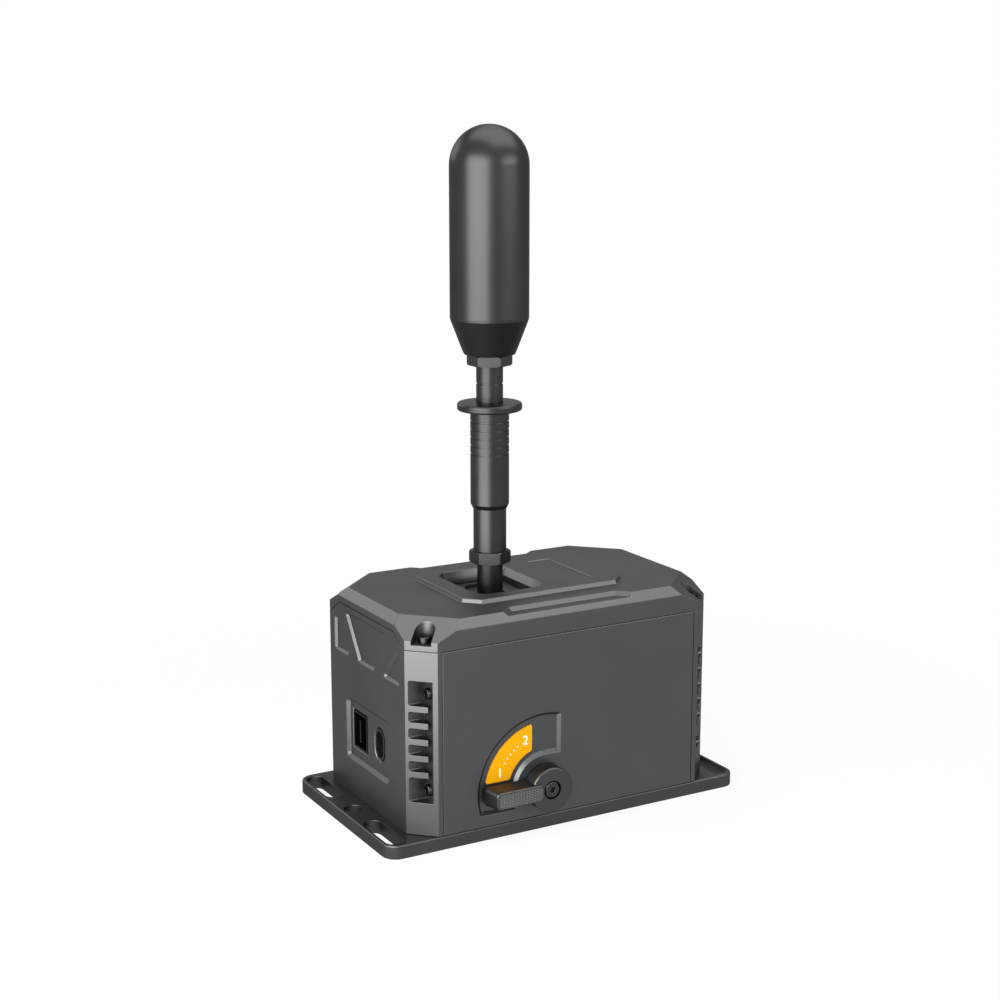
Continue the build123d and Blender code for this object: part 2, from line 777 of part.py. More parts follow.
# Lock slide: the cam's pin moves it sideways between two rails behind the panel
with BuildPart() as lock_slide:
    with BuildSketch(facing(lever_x, slide_front, knob_height, (0, -1, 0))):
        Rectangle(slide_half_length * 2, slide_half_height * 2)
        with Locations((cam_pin_x, (cam_pin_throw + cam_pin_z) / 2)):
            SlotOverall(
                cam_pin_throw - cam_pin_z + (cam_pin_radius + loose) * 2,
                (cam_pin_radius + loose) * 2,
                rotation=90,
                mode=Mode.SUBTRACT,
            )
    extrude(amount=-slide_thickness)
    with BuildSketch(Plane.XY.offset(slide_arm_low)):
        with Locations((lever_x, slide_back)):
            Rectangle(
                slide_arm_half * 2, slide_arm_gap + slide_arm_thickness, align=(Align.CENTER, Align.MIN)
            )
    extrude(amount=slide_arm_thickness)
    with BuildSketch(Plane.XY.offset(slide_arm_low)):
        with Locations((lever_x, arm_front)):
            Rectangle(slide_arm_half * 2, slide_arm_thickness, align=(Align.CENTER, Align.MIN))
    extrude(amount=slide_arm_high - slide_arm_low)
    with BuildSketch(Plane.XY.offset(slide_arm_high - slide_tongue_height)):
        with Locations((lever_x, arm_front + slide_arm_thickness)):
            Rectangle(slide_arm_half * 2, slide_tongue_reach, align=(Align.CENTER, Align.MIN))
    extrude(amount=slide_tongue_height)
save(lock_slide.part, "lock_slide")

with BuildPart() as slide_rails:
    with BuildSketch(Plane.YZ.offset(lever_x - rail_left)):
        for sz in (-1, 1):
            with Locations(((inner_face + rail_back) / 2, knob_height + sz * (rail_inner + rail_outer) / 2)):
                Rectangle(rail_back - inner_face, rail_outer - rail_inner)
        with Locations(((slide_front + slide_back) / 2, knob_height)):
            Rectangle(slide_thickness + slip * 2, (slide_half_height + slip) * 2, mode=Mode.SUBTRACT)
    extrude(amount=rail_left + rail_right)
    with Locations(
        *[facing(lever_x + x, rail_back, knob_height + z, (0, 1, 0)) for x, z in rail_screw_spots]
    ):
        Hole(rail_screw_shank + slip, rail_back - inner_face)
save(slide_rails.part, "slide_rails")

rail_screw_length = rail_back - inner_face + rail_screw_bite
rail_screw = screw(
    rail_screw_head,
    rail_screw_head_height,
    rail_screw_shank,
    rail_screw_length,
    rail_screw_key,
    rail_screw_head_height / 2,
)
with BuildPart() as rail_screws:
    with Locations(
        *[facing(lever_x + x, rail_back, knob_height + z, (0, 1, 0)) for x, z in rail_screw_spots]
    ):
        add(rail_screw)
save(rail_screws.part, "rail_screws")

# Sockets and the circuit board behind the socket end
socket_slip = 0.1
data_rim = 1.0
data_well_depth = 9.0
data_tongue_thickness = 1.2
data_tongue_height = 11.0
aux_rim = 1.1
aux_well_depth = 8.0
board_screw_head = 2.3
board_screw_head_height = 1.6
board_screw_key = 1.1
chip_size = 12.0
chip_height = 1.4
chip_rise = 13.2
chip_z = socket_height + chip_rise

board_outer = -board_x - board_thickness
board_inner = -board_x
port_floor = -half_length + socket_relief_depth
end_inside = -wall_inside

with BuildPart() as circuit_board:
    with BuildSketch(facing(board_outer, 0, socket_height, (1, 0, 0))):
        Rectangle(board_width, board_height)
        with Locations(*[(sy * board_post_y, sz * board_post_z) for sy, sz in corner_signs]):
            Circle(board_screw_shank + slip, mode=Mode.SUBTRACT)
    extrude(amount=board_thickness)
    with BuildSketch(facing(board_inner, 0, chip_z, (1, 0, 0))):
        Rectangle(chip_size, chip_size)
    extrude(amount=chip_height)
save(circuit_board.part, "circuit_board")

with BuildPart() as board_posts:
    for sy, sz in corner_signs:
        post_plane = facing(end_inside, sy * board_post_y, socket_height + sz * board_post_z, (1, 0, 0))
        add(sleeve(post_plane, board_post_radius, board_screw_shank + slip, board_outer - end_inside))
save(board_posts.part, "board_posts")

board_screw_length = board_inner - end_inside + casting_wall / 3
board_screw = screw(
    board_screw_head,
    board_screw_head_height,
    board_screw_shank,
    board_screw_length,
    board_screw_key,
    board_screw_head_height / 2,
)
with BuildPart() as board_screws:
    with Locations(
        *[
            facing(board_inner, sy * board_post_y, socket_height + sz * board_post_z, (1, 0, 0))
            for sy, sz in corner_signs
        ]
    ):
        add(board_screw)
save(board_screws.part, "board_screws")

with BuildPart() as data_socket:
    with BuildSketch(facing(board_outer, data_hole_y, socket_height, (-1, 0, 0))):
        Rectangle(data_hole_width - socket_slip * 2, data_hole_height - socket_slip * 2)
    extrude(amount=board_outer - port_floor)
    with BuildSketch(facing(port_floor, data_hole_y, socket_height, (-1, 0, 0))):
        data_inset = (socket_slip + data_rim) * 2
        Rectangle(data_hole_width - data_inset, data_hole_height - data_inset)
        Rectangle(data_tongue_thickness, data_tongue_height, mode=Mode.SUBTRACT)
    extrude(amount=-data_well_depth, mode=Mode.SUBTRACT)
save(data_socket.part, "data_socket")

with BuildPart() as aux_socket:
    with BuildSketch(facing(board_outer, aux_hole_y, socket_height, (-1, 0, 0))):
        SlotOverall(aux_hole_height - socket_slip * 2, aux_hole_width - socket_slip * 2, rotation=90)
    extrude(amount=board_outer - port_floor)
    with BuildSketch(facing(port_floor, aux_hole_y, socket_height, (-1, 0, 0))):
        aux_inset = (socket_slip + aux_rim) * 2
        SlotOverall(aux_hole_height - aux_inset, aux_hole_width - aux_inset, rotation=90)
    extrude(amount=-aux_well_depth, mode=Mode.SUBTRACT)
save(aux_socket.part, "aux_socket")

# Mechanism frame: a foot on the plate and two uprights with bushes for the yoke's pins
foot_thickness = 4.0
foot_width = 44.0
upright_inner = 26.0
upright_outer = 32.0
upright_width = 40.0
upright_top = 68.0
pin_radius = 4.0
pin_proud = 0.6
yoke_length = 49.0
yoke_width = 48.0
yoke_height = 14.0
yoke_window_length = 26.0
yoke_window_width = 25.0
yoke_pin_wall = 1.0
yoke_edge_round = 2.0
hub_length = 18.0
hub_width = 22.0
hub_height = 16.0
magnet_radius = 3.0
magnet_thickness = 2.5
cup_outer = 6.8
cup_inner = 4.6
cup_depth = 4.6
cup_lug_half = 12.0
cup_lug_height = 7.0
cup_lug_depth = 2.0
sensor_length = 24.0
sensor_height = 13.0
sensor_thickness = 1.2
sensor_screw_x = 9.4
sensor_screw_shank = 1.0
sensor_screw_head = 1.8
sensor_screw_head_height = 1.3
sensor_screw_bite = 4.0
sensor_screw_key = 0.9
gate_post_x = 21.5
gate_post_y = 10.0
gate_post_radius = 3.2
gate_low = 19.0
gate_thickness = 3.0
gate_length = 50.0
gate_width = 34.0
gate_screw_shank = 1.5
gate_screw_head = 2.75
gate_screw_head_height = 2.0
gate_screw_length = 9.0
gate_screw_key = 1.25
detent_plate_radius = 17.0
detent_plate_top = 18.0
detent_sphere = 43.0
detent_dimple = 2.4
detent_dimple_reach = 0.9
detent_screw_y = 13.2
detent_screw_shank = 1.25
detent_screw_head = 2.5
detent_screw_length = 8.0
detent_screw_key = 0.95
finger_radius = 3.0
finger_reach = 41.2
finger_clear = 0.3
rod_radius = 1.5
rod_bore = 1.9

foot_top = body_low + foot_thickness
shift_rad = math.radians(shift_angle)
select_rad = math.radians(select_angle)
gate_mid_drop = pivot_height - gate_low - gate_thickness / 2
gate_low_drop = pivot_height - gate_low
finger_tilted = finger_radius / math.cos(select_rad)
gate_spread = gate_thickness / 2 * math.tan(select_rad)
gate_column = gate_mid_drop * math.tan(select_rad)
gate_side_half = finger_tilted + gate_spread + finger_clear
gate_reach = gate_low_drop * math.tan(shift_rad) / math.cos(select_rad) + finger_tilted + finger_clear
gate_cross_half = finger_radius + finger_clear

with BuildPart() as mechanism_frame:
    with BuildSketch(Plane.XY.offset(body_low)):
        with Locations((lever_x, 0)):
            Rectangle(upright_outer * 2, foot_width)
        with Locations(*frame_screw_spots):
            Circle(frame_screw_shank + slip, mode=Mode.SUBTRACT)
        with Locations(*[(lever_x + sx * gate_post_x, sy * gate_post_y) for sx, sy in corner_signs]):
            Circle(gate_screw_shank + slip, mode=Mode.SUBTRACT)
    extrude(amount=foot_thickness)
    for sx in (-1, 1):
        with BuildSketch(facing(lever_x + sx * upright_outer, 0, body_low, (sx, 0, 0))):
            Rectangle(upright_width, upright_top - body_low, align=(Align.CENTER, Align.MIN))
        extrude(amount=upright_inner - upright_outer)
    fillet(mechanism_frame.edges().filter_by(Axis.X).group_by(Axis.Z)[-1], radius=upright_width / 5)
    for sx in (-1, 1):
        with Locations(facing(lever_x + sx * upright_outer, 0, pivot_height, (sx, 0, 0))):
            Hole(bush_radius + slip, upright_outer - upright_inner)
    with Locations(
        *[facing(lever_x + upright_outer, sy * sensor_screw_x, pivot_height, (1, 0, 0)) for sy in (-1, 1)]
    ):
        Hole(sensor_screw_shank + slip, sensor_screw_bite)
    with Locations(*[facing(lever_x, sy * detent_screw_y, body_low, (0, 0, -1)) for sy in (-1, 1)]):
        CounterSinkHole(detent_screw_shank + slip, detent_screw_head + slip, foot_thickness, 90)
save(mechanism_frame.part, "mechanism_frame")

frame_screw = screw(
    frame_screw_head,
    frame_screw_head_height,
    frame_screw_shank,
    frame_screw_length,
    frame_screw_key,
    frame_screw_head_height / 2,
)
with BuildPart() as frame_screws:
    with Locations(*[(x, y, foot_top) for x, y in frame_screw_spots]):
        add(frame_screw)
save(frame_screws.part, "frame_screws")

with BuildPart() as select_bushes:
    for sx in (-1, 1):
        bush_plane = facing(lever_x + sx * upright_outer, 0, pivot_height, (-sx, 0, 0))
        add(sleeve(bush_plane, bush_radius, pin_radius + slip, upright_outer - upright_inner))
        flange_plane = facing(lever_x + sx * upright_inner, 0, pivot_height, (-sx, 0, 0))
        add(sleeve(flange_plane, bush_flange_radius, pin_radius + slip, bush_flange_thickness))
save(select_bushes.part, "select_bushes")

with BuildPart() as gate_plate:
    with BuildSketch(Plane.XY.offset(gate_low)):
        with Locations((lever_x, 0)):
            Rectangle(gate_length, gate_width)
        with Locations(*[(lever_x + sx * gate_post_x, sy * gate_post_y) for sx, sy in corner_signs]):
            Circle(gate_screw_shank + slip, mode=Mode.SUBTRACT)
        with Locations((lever_x, -gate_column), (lever_x, gate_column)):
            Rectangle(gate_reach * 2, gate_side_half * 2, mode=Mode.SUBTRACT)
        with Locations((lever_x, 0)):
            Rectangle(gate_reach * 2, gate_cross_half * 2, mode=Mode.SUBTRACT)
            Rectangle(gate_cross_half * 2, gate_column * 2, mode=Mode.SUBTRACT)
    extrude(amount=gate_thickness)
save(gate_plate.part, "gate_plate")

with BuildPart() as gate_posts:
    for sx, sy in corner_signs:
        post_plane = facing(lever_x + sx * gate_post_x, sy * gate_post_y, foot_top, (0, 0, 1))
        add(sleeve(post_plane, gate_post_radius, gate_screw_shank + slip, gate_low - foot_top))
save(gate_posts.part, "gate_posts")

gate_screw_length = gate_low + gate_thickness - body_low - foot_thickness / 4
gate_screw = screw(
    gate_screw_head,
    gate_screw_head_height,
    gate_screw_shank,
    gate_screw_length,
    gate_screw_key,
    gate_screw_head_height / 2,
)
with BuildPart() as gate_screws:
    with Locations(
        *[
            (lever_x + sx * gate_post_x, sy * gate_post_y, gate_low + gate_thickness)
            for sx, sy in corner_signs
        ]
    ):
        add(gate_screw)
save(gate_screws.part, "gate_screws")

with BuildPart() as detent_plate:
    add(about_lever(foot_top, detent_plate_radius, 0, detent_plate_top))
    with Locations((lever_x, 0, pivot_height)):
        Sphere(detent_sphere, mode=Mode.SUBTRACT)
    for shift_step in (-shift_rad, 0, shift_rad):
        for select_step in (-select_rad, 0, select_rad):
            reach = detent_sphere - detent_dimple + detent_dimple_reach
            with Locations(
                (
                    lever_x + reach * math.sin(shift_step),
                    reach * math.cos(shift_step) * math.sin(select_step),
                    pivot_height - reach * math.cos(shift_step) * math.cos(select_step),
                )
            ):
                Sphere(detent_dimple, mode=Mode.SUBTRACT)
    with Locations(*[facing(lever_x, sy * detent_screw_y, foot_top, (0, 0, -1)) for sy in (-1, 1)]):
        Hole(detent_screw_shank + slip, detent_screw_length - foot_thickness + slip)
save(detent_plate.part, "detent_plate")

detent_screw = flat_screw(
    detent_screw_head,
    detent_screw_head - detent_screw_shank,
    detent_screw_shank,
    detent_screw_length,
    detent_screw_key,
)
with BuildPart() as detent_screws:
    with Locations(*[facing(lever_x, sy * detent_screw_y, body_low, (0, 0, -1)) for sy in (-1, 1)]):
        add(detent_screw)
save(detent_screws.part, "detent_screws")


def sensor_set(plane, prefix):
    """A cup around a pin's end, an angle sensor closing it, and the two screws that hold both."""
    with BuildPart() as cup:
        with BuildSketch(plane):
            Circle(cup_outer)
            Circle(cup_inner, mode=Mode.SUBTRACT)
        extrude(amount=cup_depth)
        with BuildSketch(plane):
            Rectangle(cup_lug_half * 2, cup_lug_height)
            Circle(cup_outer - loose, mode=Mode.SUBTRACT)
        extrude(amount=cup_depth)
        with BuildSketch(plane):
            with Locations((-sensor_screw_x, 0), (sensor_screw_x, 0)):
                Circle(sensor_screw_shank + slip)
        extrude(amount=cup_depth, mode=Mode.SUBTRACT)
    save(cup.part, prefix + "_sensor_cup")
    with BuildPart() as sensor:
        with BuildSketch(plane.offset(cup_depth)):
            Rectangle(sensor_length, sensor_height)
            with Locations((-sensor_screw_x, 0), (sensor_screw_x, 0)):
                Circle(sensor_screw_shank + slip, mode=Mode.SUBTRACT)
        extrude(amount=sensor_thickness)
    save(sensor.part, prefix + "_sensor")
    sensor_screw_length = cup_depth + sensor_thickness + sensor_screw_bite - loose
    sensor_screw = screw(
        sensor_screw_head,
        sensor_screw_head_height,
        sensor_screw_shank,
        sensor_screw_length,
        sensor_screw_key,
        sensor_screw_head_height / 2,
    )
    with BuildPart() as sensor_screws:
        for side in (-1, 1):
            head_plane = plane.offset(cup_depth + sensor_thickness)
            head_plane.origin = head_plane.origin + plane.x_dir * (side * sensor_screw_x)
            with Locations(head_plane):
                add(sensor_screw)
    save(sensor_screws.part, prefix + "_sensor_screws")


sensor_set(facing(lever_x + upright_outer, 0, pivot_height, (1, 0, 0)), "select")
sensor_set(facing(lever_x, yoke_width / 2, pivot_height, (0, 1, 0)), "shift")

# Yoke: turns about X in the frame and carries the lever's pins, which turn about Y
with BuildPart() as select_yoke:
    with BuildSketch(Plane.XY.offset(pivot_height - yoke_height / 2)):
        with Locations((lever_x, 0)):
            Rectangle(yoke_length, yoke_width)
    extrude(amount=yoke_height)
    fillet(select_yoke.edges().filter_by(Axis.Z), radius=yoke_edge_round)
    with BuildSketch(Plane.XY.offset(pivot_height - yoke_height / 2)):
        with Locations((lever_x, 0)):
            Rectangle(yoke_window_length, yoke_window_width)
    extrude(amount=yoke_height, mode=Mode.SUBTRACT)
    for sx in (-1, 1):
        with Locations(facing(lever_x + sx * yoke_length / 2, 0, pivot_height, (sx, 0, 0))):
            Hole(pin_radius + slip, (yoke_length - yoke_window_length) / 2 - yoke_pin_wall)
    for sy in (-1, 1):
        with Locations(facing(lever_x, sy * yoke_width / 2, pivot_height, (0, sy, 0))):
            Hole(bush_radius + slip, (yoke_width - yoke_window_width) / 2)
    with Locations(
        *[facing(lever_x + sx * sensor_screw_x, yoke_width / 2, pivot_height, (0, 1, 0)) for sx in (-1, 1)]
    ):
        Hole(sensor_screw_shank + slip, sensor_screw_bite)
save(select_yoke.part, "select_yoke")

with BuildPart() as select_pins:
    pin_start = yoke_window_length / 2 + yoke_pin_wall + slip
    for sx in (-1, 1):
        pin_plane = facing(lever_x + sx * pin_start, 0, pivot_height, (sx, 0, 0))
        add(sleeve(pin_plane, pin_radius, 0, upright_outer + pin_proud - pin_start))
save(select_pins.part, "select_pins")

select_magnet = sleeve(
    facing(lever_x + upright_outer + pin_proud, 0, pivot_height, (1, 0, 0)),
    magnet_radius,
    0,
    magnet_thickness,
)
save(select_magnet, "select_magnet")

with BuildPart() as shift_bushes:
    for sy in (-1, 1):
        bush_plane = facing(lever_x, sy * yoke_width / 2, pivot_height, (0, -sy, 0))
        add(sleeve(bush_plane, bush_radius, pin_radius + slip, (yoke_width - yoke_window_width) / 2))
        flange_plane = facing(lever_x, sy * yoke_window_width / 2, pivot_height, (0, -sy, 0))
        add(sleeve(flange_plane, bush_flange_radius, pin_radius + slip, bush_flange_thickness))
save(shift_bushes.part, "shift_bushes")

# Lever: a stepped shaft through the yoke, with a finger below and a tube and grip above
rod_above_cover = 8.7
jam_nut_thickness = 5.8
jam_nut_flat = 8.5
nut_chamfer = 0.7
nut_turn = 30.0
hexagon_half_step = 30.0
tube_lower_length = 28.8
tube_upper_length = 58.1
tube_lower_radius = 7.7
tube_upper_radius = 6.2
spigot_radius = 4.5
spigot_length = 32.4
collar_nut_thickness = 4.8
collar_nut_flat = 9.1
grip_radius = 18.15
grip_length = 103.4
grip_taper_length = 14.6
grip_lip_length = 2.1
grip_taper_radius = 12.55
grip_lip_radius = 11.6
grip_core_radius = 8.0
grip_core_length = 39.6
shift_pin_start = 6.8
hub_edge_round = 1.0
lock_pin_radius = 1.0
lock_pin_rise = 3.1
lock_pin_reach = 7.9
lift_travel = 10.0
bore_rise = 18.5
sleeve_overlap = 8.5
sleeve_rise = 37.25
shoulder_rise = 0.2
shoulder_thickness = 5.3
sleeve_radius = 9.0
sleeve_bottom_radius = 8.0
sleeve_bottom_chamfer = 2.0
sleeve_neck_radius = 8.6
sleeve_neck = 0.45
spring_chamber_radius = 7.9
groove_count = 5
groove_pitch = 3.75
groove_top_drop = 4.9
groove_width = 0.9
groove_depth = 0.45
flange_radius = 15.05
flange_thickness = 3.75
flange_round = 1.2
rod_groove_drop = 8.3
rod_groove_width = 0.8
rod_groove_depth = 0.4
stop_ring_rise = 31.5
stop_ring_thickness = 2.0
stop_ring_radius = 7.6
spring_wire = 0.8
spring_turns = 8

lever_low = pivot_height - finger_reach
jam_nut_low = platform_top + rod_above_cover
jam_nut_high = jam_nut_low + jam_nut_thickness
tube_step = jam_nut_high + tube_lower_length
tube_top = tube_step + tube_upper_length
collar_nut_high = tube_top + collar_nut_thickness
spigot_top = tube_top + spigot_length
grip_taper_low = collar_nut_high + grip_lip_length
grip_taper_top = grip_taper_low + grip_taper_length
grip_top = collar_nut_high + grip_length
grip_core_top = collar_nut_high + grip_core_length
lock_pin_height = tube_step + lock_pin_rise
bore_top = tube_step + bore_rise
sleeve_low = tube_step - sleeve_overlap
sleeve_high = tube_step + sleeve_rise
sleeve_shoulder_low = tube_step + shoulder_rise
sleeve_shoulder_high = sleeve_shoulder_low + shoulder_thickness
groove_heights = [sleeve_high - groove_top_drop - groove_pitch * index for index in range(groove_count)]
rod_groove_height = tube_top - rod_groove_drop
stop_ring_low = tube_step + stop_ring_rise
slot_half = lock_pin_radius + slip * 4

with BuildPart() as lever_shaft:
    with BuildSketch(Plane.XY.offset(pivot_height - hub_height / 2)):
        with Locations((lever_x, 0)):
            Rectangle(hub_length, hub_width)
    extrude(amount=hub_height)
    fillet(lever_shaft.edges(), radius=hub_edge_round)
    add(about_lever(pivot_height, lever_radius, 0, jam_nut_high))
    add(about_lever(jam_nut_high, spigot_radius, 0, spigot_top))
    add(about_lever(lever_low, finger_radius, 0, pivot_height))
    with Locations(facing(lever_x, 0, lever_low, (0, 0, -1))):
        Hole(rod_bore, bore_top - lever_low)
    for sy in (-1, 1):
        with Locations(facing(lever_x, sy * hub_width / 2, pivot_height, (0, sy, 0))):
            Hole(pin_radius + slip, hub_width / 2 - shift_pin_start + slip)
    with BuildSketch(facing(lever_x, 0, lock_pin_height + lift_travel / 2, (1, 0, 0))):
        SlotOverall(lift_travel + slot_half * 2, slot_half * 2, rotation=90)
    extrude(amount=lever_radius * 2, both=True, mode=Mode.SUBTRACT)
save(lever_shaft.part, "lever_shaft")

with BuildPart() as shift_pins:
    for sy in (-1, 1):
        pin_plane = facing(lever_x, sy * shift_pin_start, pivot_height, (0, sy, 0))
        add(sleeve(pin_plane, pin_radius, 0, yoke_width / 2 + pin_proud - shift_pin_start))
save(shift_pins.part, "shift_pins")

shift_magnet = sleeve(
    facing(lever_x, yoke_width / 2 + pin_proud, pivot_height, (0, 1, 0)), magnet_radius, 0, magnet_thickness
)
save(shift_magnet, "shift_magnet")


def hex_nut(flat_radius, bore, low, high):
    """A six-sided nut about the lever with its corners turned down at both ends."""
    corner_radius = flat_radius / math.cos(math.radians(hexagon_half_step))
    with BuildPart(mode=Mode.PRIVATE) as made:
        with BuildSketch(facing(lever_x, 0, low, (0, 0, 1))):
            RegularPolygon(corner_radius, 6, rotation=nut_turn)
            Circle(bore, mode=Mode.SUBTRACT)
        extrude(amount=high - low)
        with BuildSketch(facing(lever_x, 0, 0, (0, -1, 0))):
            with BuildLine():
                Polyline(
                    (0, low),
                    (corner_radius - nut_chamfer, low),
                    (corner_radius, low + nut_chamfer),
                    (corner_radius, high - nut_chamfer),
                    (corner_radius - nut_chamfer, high),
                    (0, high),
                    close=True,
                )
            make_face()
        revolve(axis=Axis((lever_x, 0, 0), (0, 0, 1)), mode=Mode.INTERSECT)
    return made.part


jam_nut = hex_nut(jam_nut_flat, lever_radius + slip, jam_nut_low, jam_nut_high)
save(jam_nut, "jam_nut")
collar_nut = hex_nut(collar_nut_flat, spigot_radius + slip, tube_top, collar_nut_high)
save(collar_nut, "collar_nut")

with BuildPart() as extension_tube:
    add(about_lever(jam_nut_high, tube_lower_radius, 0, tube_step))
    add(about_lever(tube_step, tube_upper_radius, 0, tube_top))
    add(
        about_lever(
            rod_groove_height - rod_groove_width / 2,
            tube_upper_radius + overrun,
            tube_upper_radius - rod_groove_depth,
            rod_groove_height + rod_groove_width / 2,
        ),
        mode=Mode.SUBTRACT,
    )
    add(about_lever(jam_nut_high, spigot_radius + slip, 0, tube_top), mode=Mode.SUBTRACT)
    with BuildSketch(facing(lever_x, 0, lock_pin_height + lift_travel / 2, (1, 0, 0))):
        SlotOverall(lift_travel + slot_half * 2, slot_half * 2, rotation=90)
    extrude(amount=lever_radius * 2, both=True, mode=Mode.SUBTRACT)
save(extension_tube.part, "extension_tube")

with BuildPart() as spring_stop_ring:
    stop_ring_high = stop_ring_low + stop_ring_thickness
    add(about_lever(stop_ring_low, stop_ring_radius, tube_upper_radius + slip, stop_ring_high))
save(spring_stop_ring.part, "spring_stop_ring")

lever_axis = Axis((lever_x, 0, 0), (0, 0, 1))

with BuildPart() as lift_sleeve:
    with BuildSketch(facing(lever_x, 0, 0, (0, -1, 0))):
        with BuildLine():
            Polyline(
                (tube_lower_radius + slip, sleeve_low),
                (sleeve_bottom_radius, sleeve_low),
                (sleeve_radius, sleeve_low + sleeve_bottom_chamfer),
                (sleeve_radius, sleeve_high - sleeve_neck),
                (sleeve_neck_radius, sleeve_high - sleeve_neck),
                (sleeve_neck_radius, sleeve_high),
                (spring_chamber_radius, sleeve_high),
                (spring_chamber_radius, sleeve_shoulder_high),
                (tube_upper_radius + slip, sleeve_shoulder_high),
                (tube_upper_radius + slip, sleeve_shoulder_low),
                (tube_lower_radius + slip, sleeve_shoulder_low),
                close=True,
            )
        make_face()
        with Locations(*[(sleeve_radius, height) for height in groove_heights]):
            Rectangle(groove_depth * 2, groove_width, mode=Mode.SUBTRACT)
    revolve(axis=lever_axis)
    with BuildSketch(facing(lever_x - lock_pin_reach, 0, lock_pin_height, (1, 0, 0))):
        Circle(lock_pin_radius + slip)
    extrude(amount=sleeve_radius * 2, mode=Mode.SUBTRACT)
save(lift_sleeve.part, "lift_sleeve")

with BuildPart() as lift_flange:
    add(about_lever(sleeve_high, flange_radius, tube_upper_radius + slip, sleeve_high + flange_thickness))
    fillet(lift_flange.edges().filter_by(GeomType.CIRCLE).group_by(SortBy.RADIUS)[-1], radius=flange_round)
save(lift_flange.part, "lift_flange")

lock_pin = sleeve(
    facing(lever_x - lock_pin_reach + slip, 0, lock_pin_height, (1, 0, 0)),
    lock_pin_radius,
    0,
    lock_pin_reach + sleeve_radius - loose,
)

with BuildPart() as lockout_rod:
    rod_tip = pivot_height - detent_sphere + loose
    add(about_lever(rod_tip + rod_radius, rod_radius, 0, lock_pin_height + rod_radius * 2))
    with Locations((lever_x, 0, rod_tip + rod_radius)):
        Sphere(rod_radius)
    with BuildSketch(facing(lever_x, 0, lock_pin_height, (1, 0, 0))):
        Circle(lock_pin_radius + slip)
    extrude(amount=rod_radius * 2, both=True, mode=Mode.SUBTRACT)
save(lockout_rod.part, "lockout_rod")
save(lock_pin, "lockout_pin")

lift_spring = coil(
    (tube_upper_radius + spring_chamber_radius) / 2,
    spring_wire,
    sleeve_shoulder_high,
    stop_ring_low,
    spring_turns,
    lever_x,
    0,
)
save(lift_spring, "lift_spring")

with BuildPart() as shift_grip:
    with BuildSketch(facing(lever_x, 0, 0, (0, -1, 0))):
        with BuildLine():
            dome_base = grip_top - grip_radius
            Line((0, grip_core_top), (0, grip_top))
            ThreePointArc(
                (0, grip_top),
                (grip_radius * root_half, dome_base + grip_radius * root_half),
                (grip_radius, dome_base),
            )
            Polyline(
                (grip_radius, dome_base),
                (grip_radius, grip_taper_top),
                (grip_taper_radius, grip_taper_low),
                (grip_lip_radius, collar_nut_high),
                (grip_core_radius + slip, collar_nut_high),
                (grip_core_radius + slip, grip_core_top),
                (0, grip_core_top),
            )
        make_face()
    revolve(axis=lever_axis)
save(shift_grip.part, "shift_grip")

with BuildPart() as grip_core:
    add(about_lever(collar_nut_high, grip_core_radius, spigot_radius + slip, grip_core_top))
save(grip_core.part, "grip_core")

# Dust plates: two crossed slides close the opening around the lever at every angle
dust_thickness = 1.5
dust_gap = 0.1
dust_slot_half = 7.0
dust_select_half_x = 15.5
dust_select_half_y = 27.8
dust_select_slot = 14.0
dust_shift_half_x = 24.0
dust_shift_half_y = 23.5
dust_shift_slot = 17.2
guide_floor = 1.5
guide_half_x = 34.0
guide_side_gap = 3.0
guide_window_x = 15.0
guide_window_y = 18.5
guide_rail = 2.4
guide_post_radius = 4.0
guide_screw_head = 2.3
guide_screw_head_height = 1.6
guide_screw_key = 1.1

guide_half_y = cover_cavity_width / 2 - guide_side_gap
dust_shift_low = ceiling_height - dust_gap - dust_thickness
dust_select_low = dust_shift_low - dust_gap - dust_thickness
guide_top = dust_select_low - dust_gap
guide_low = guide_top - guide_floor
select_rail_top = dust_select_low + dust_thickness

with BuildPart() as dust_plate_shift:
    with BuildSketch(Plane.XY.offset(dust_shift_low)):
        with Locations((lever_x, 0)):
            Rectangle(dust_shift_half_x * 2, dust_shift_half_y * 2)
            SlotOverall(dust_shift_slot * 2, dust_slot_half * 2, rotation=90, mode=Mode.SUBTRACT)
    extrude(amount=dust_thickness)
save(dust_plate_shift.part, "dust_plate_shift")

with BuildPart() as dust_plate_select:
    with BuildSketch(Plane.XY.offset(dust_select_low)):
        with Locations((lever_x, 0)):
            Rectangle(dust_select_half_x * 2, dust_select_half_y * 2)
            SlotOverall(dust_select_slot * 2, dust_slot_half * 2, mode=Mode.SUBTRACT)
    extrude(amount=dust_thickness)
save(dust_plate_select.part, "dust_plate_select")

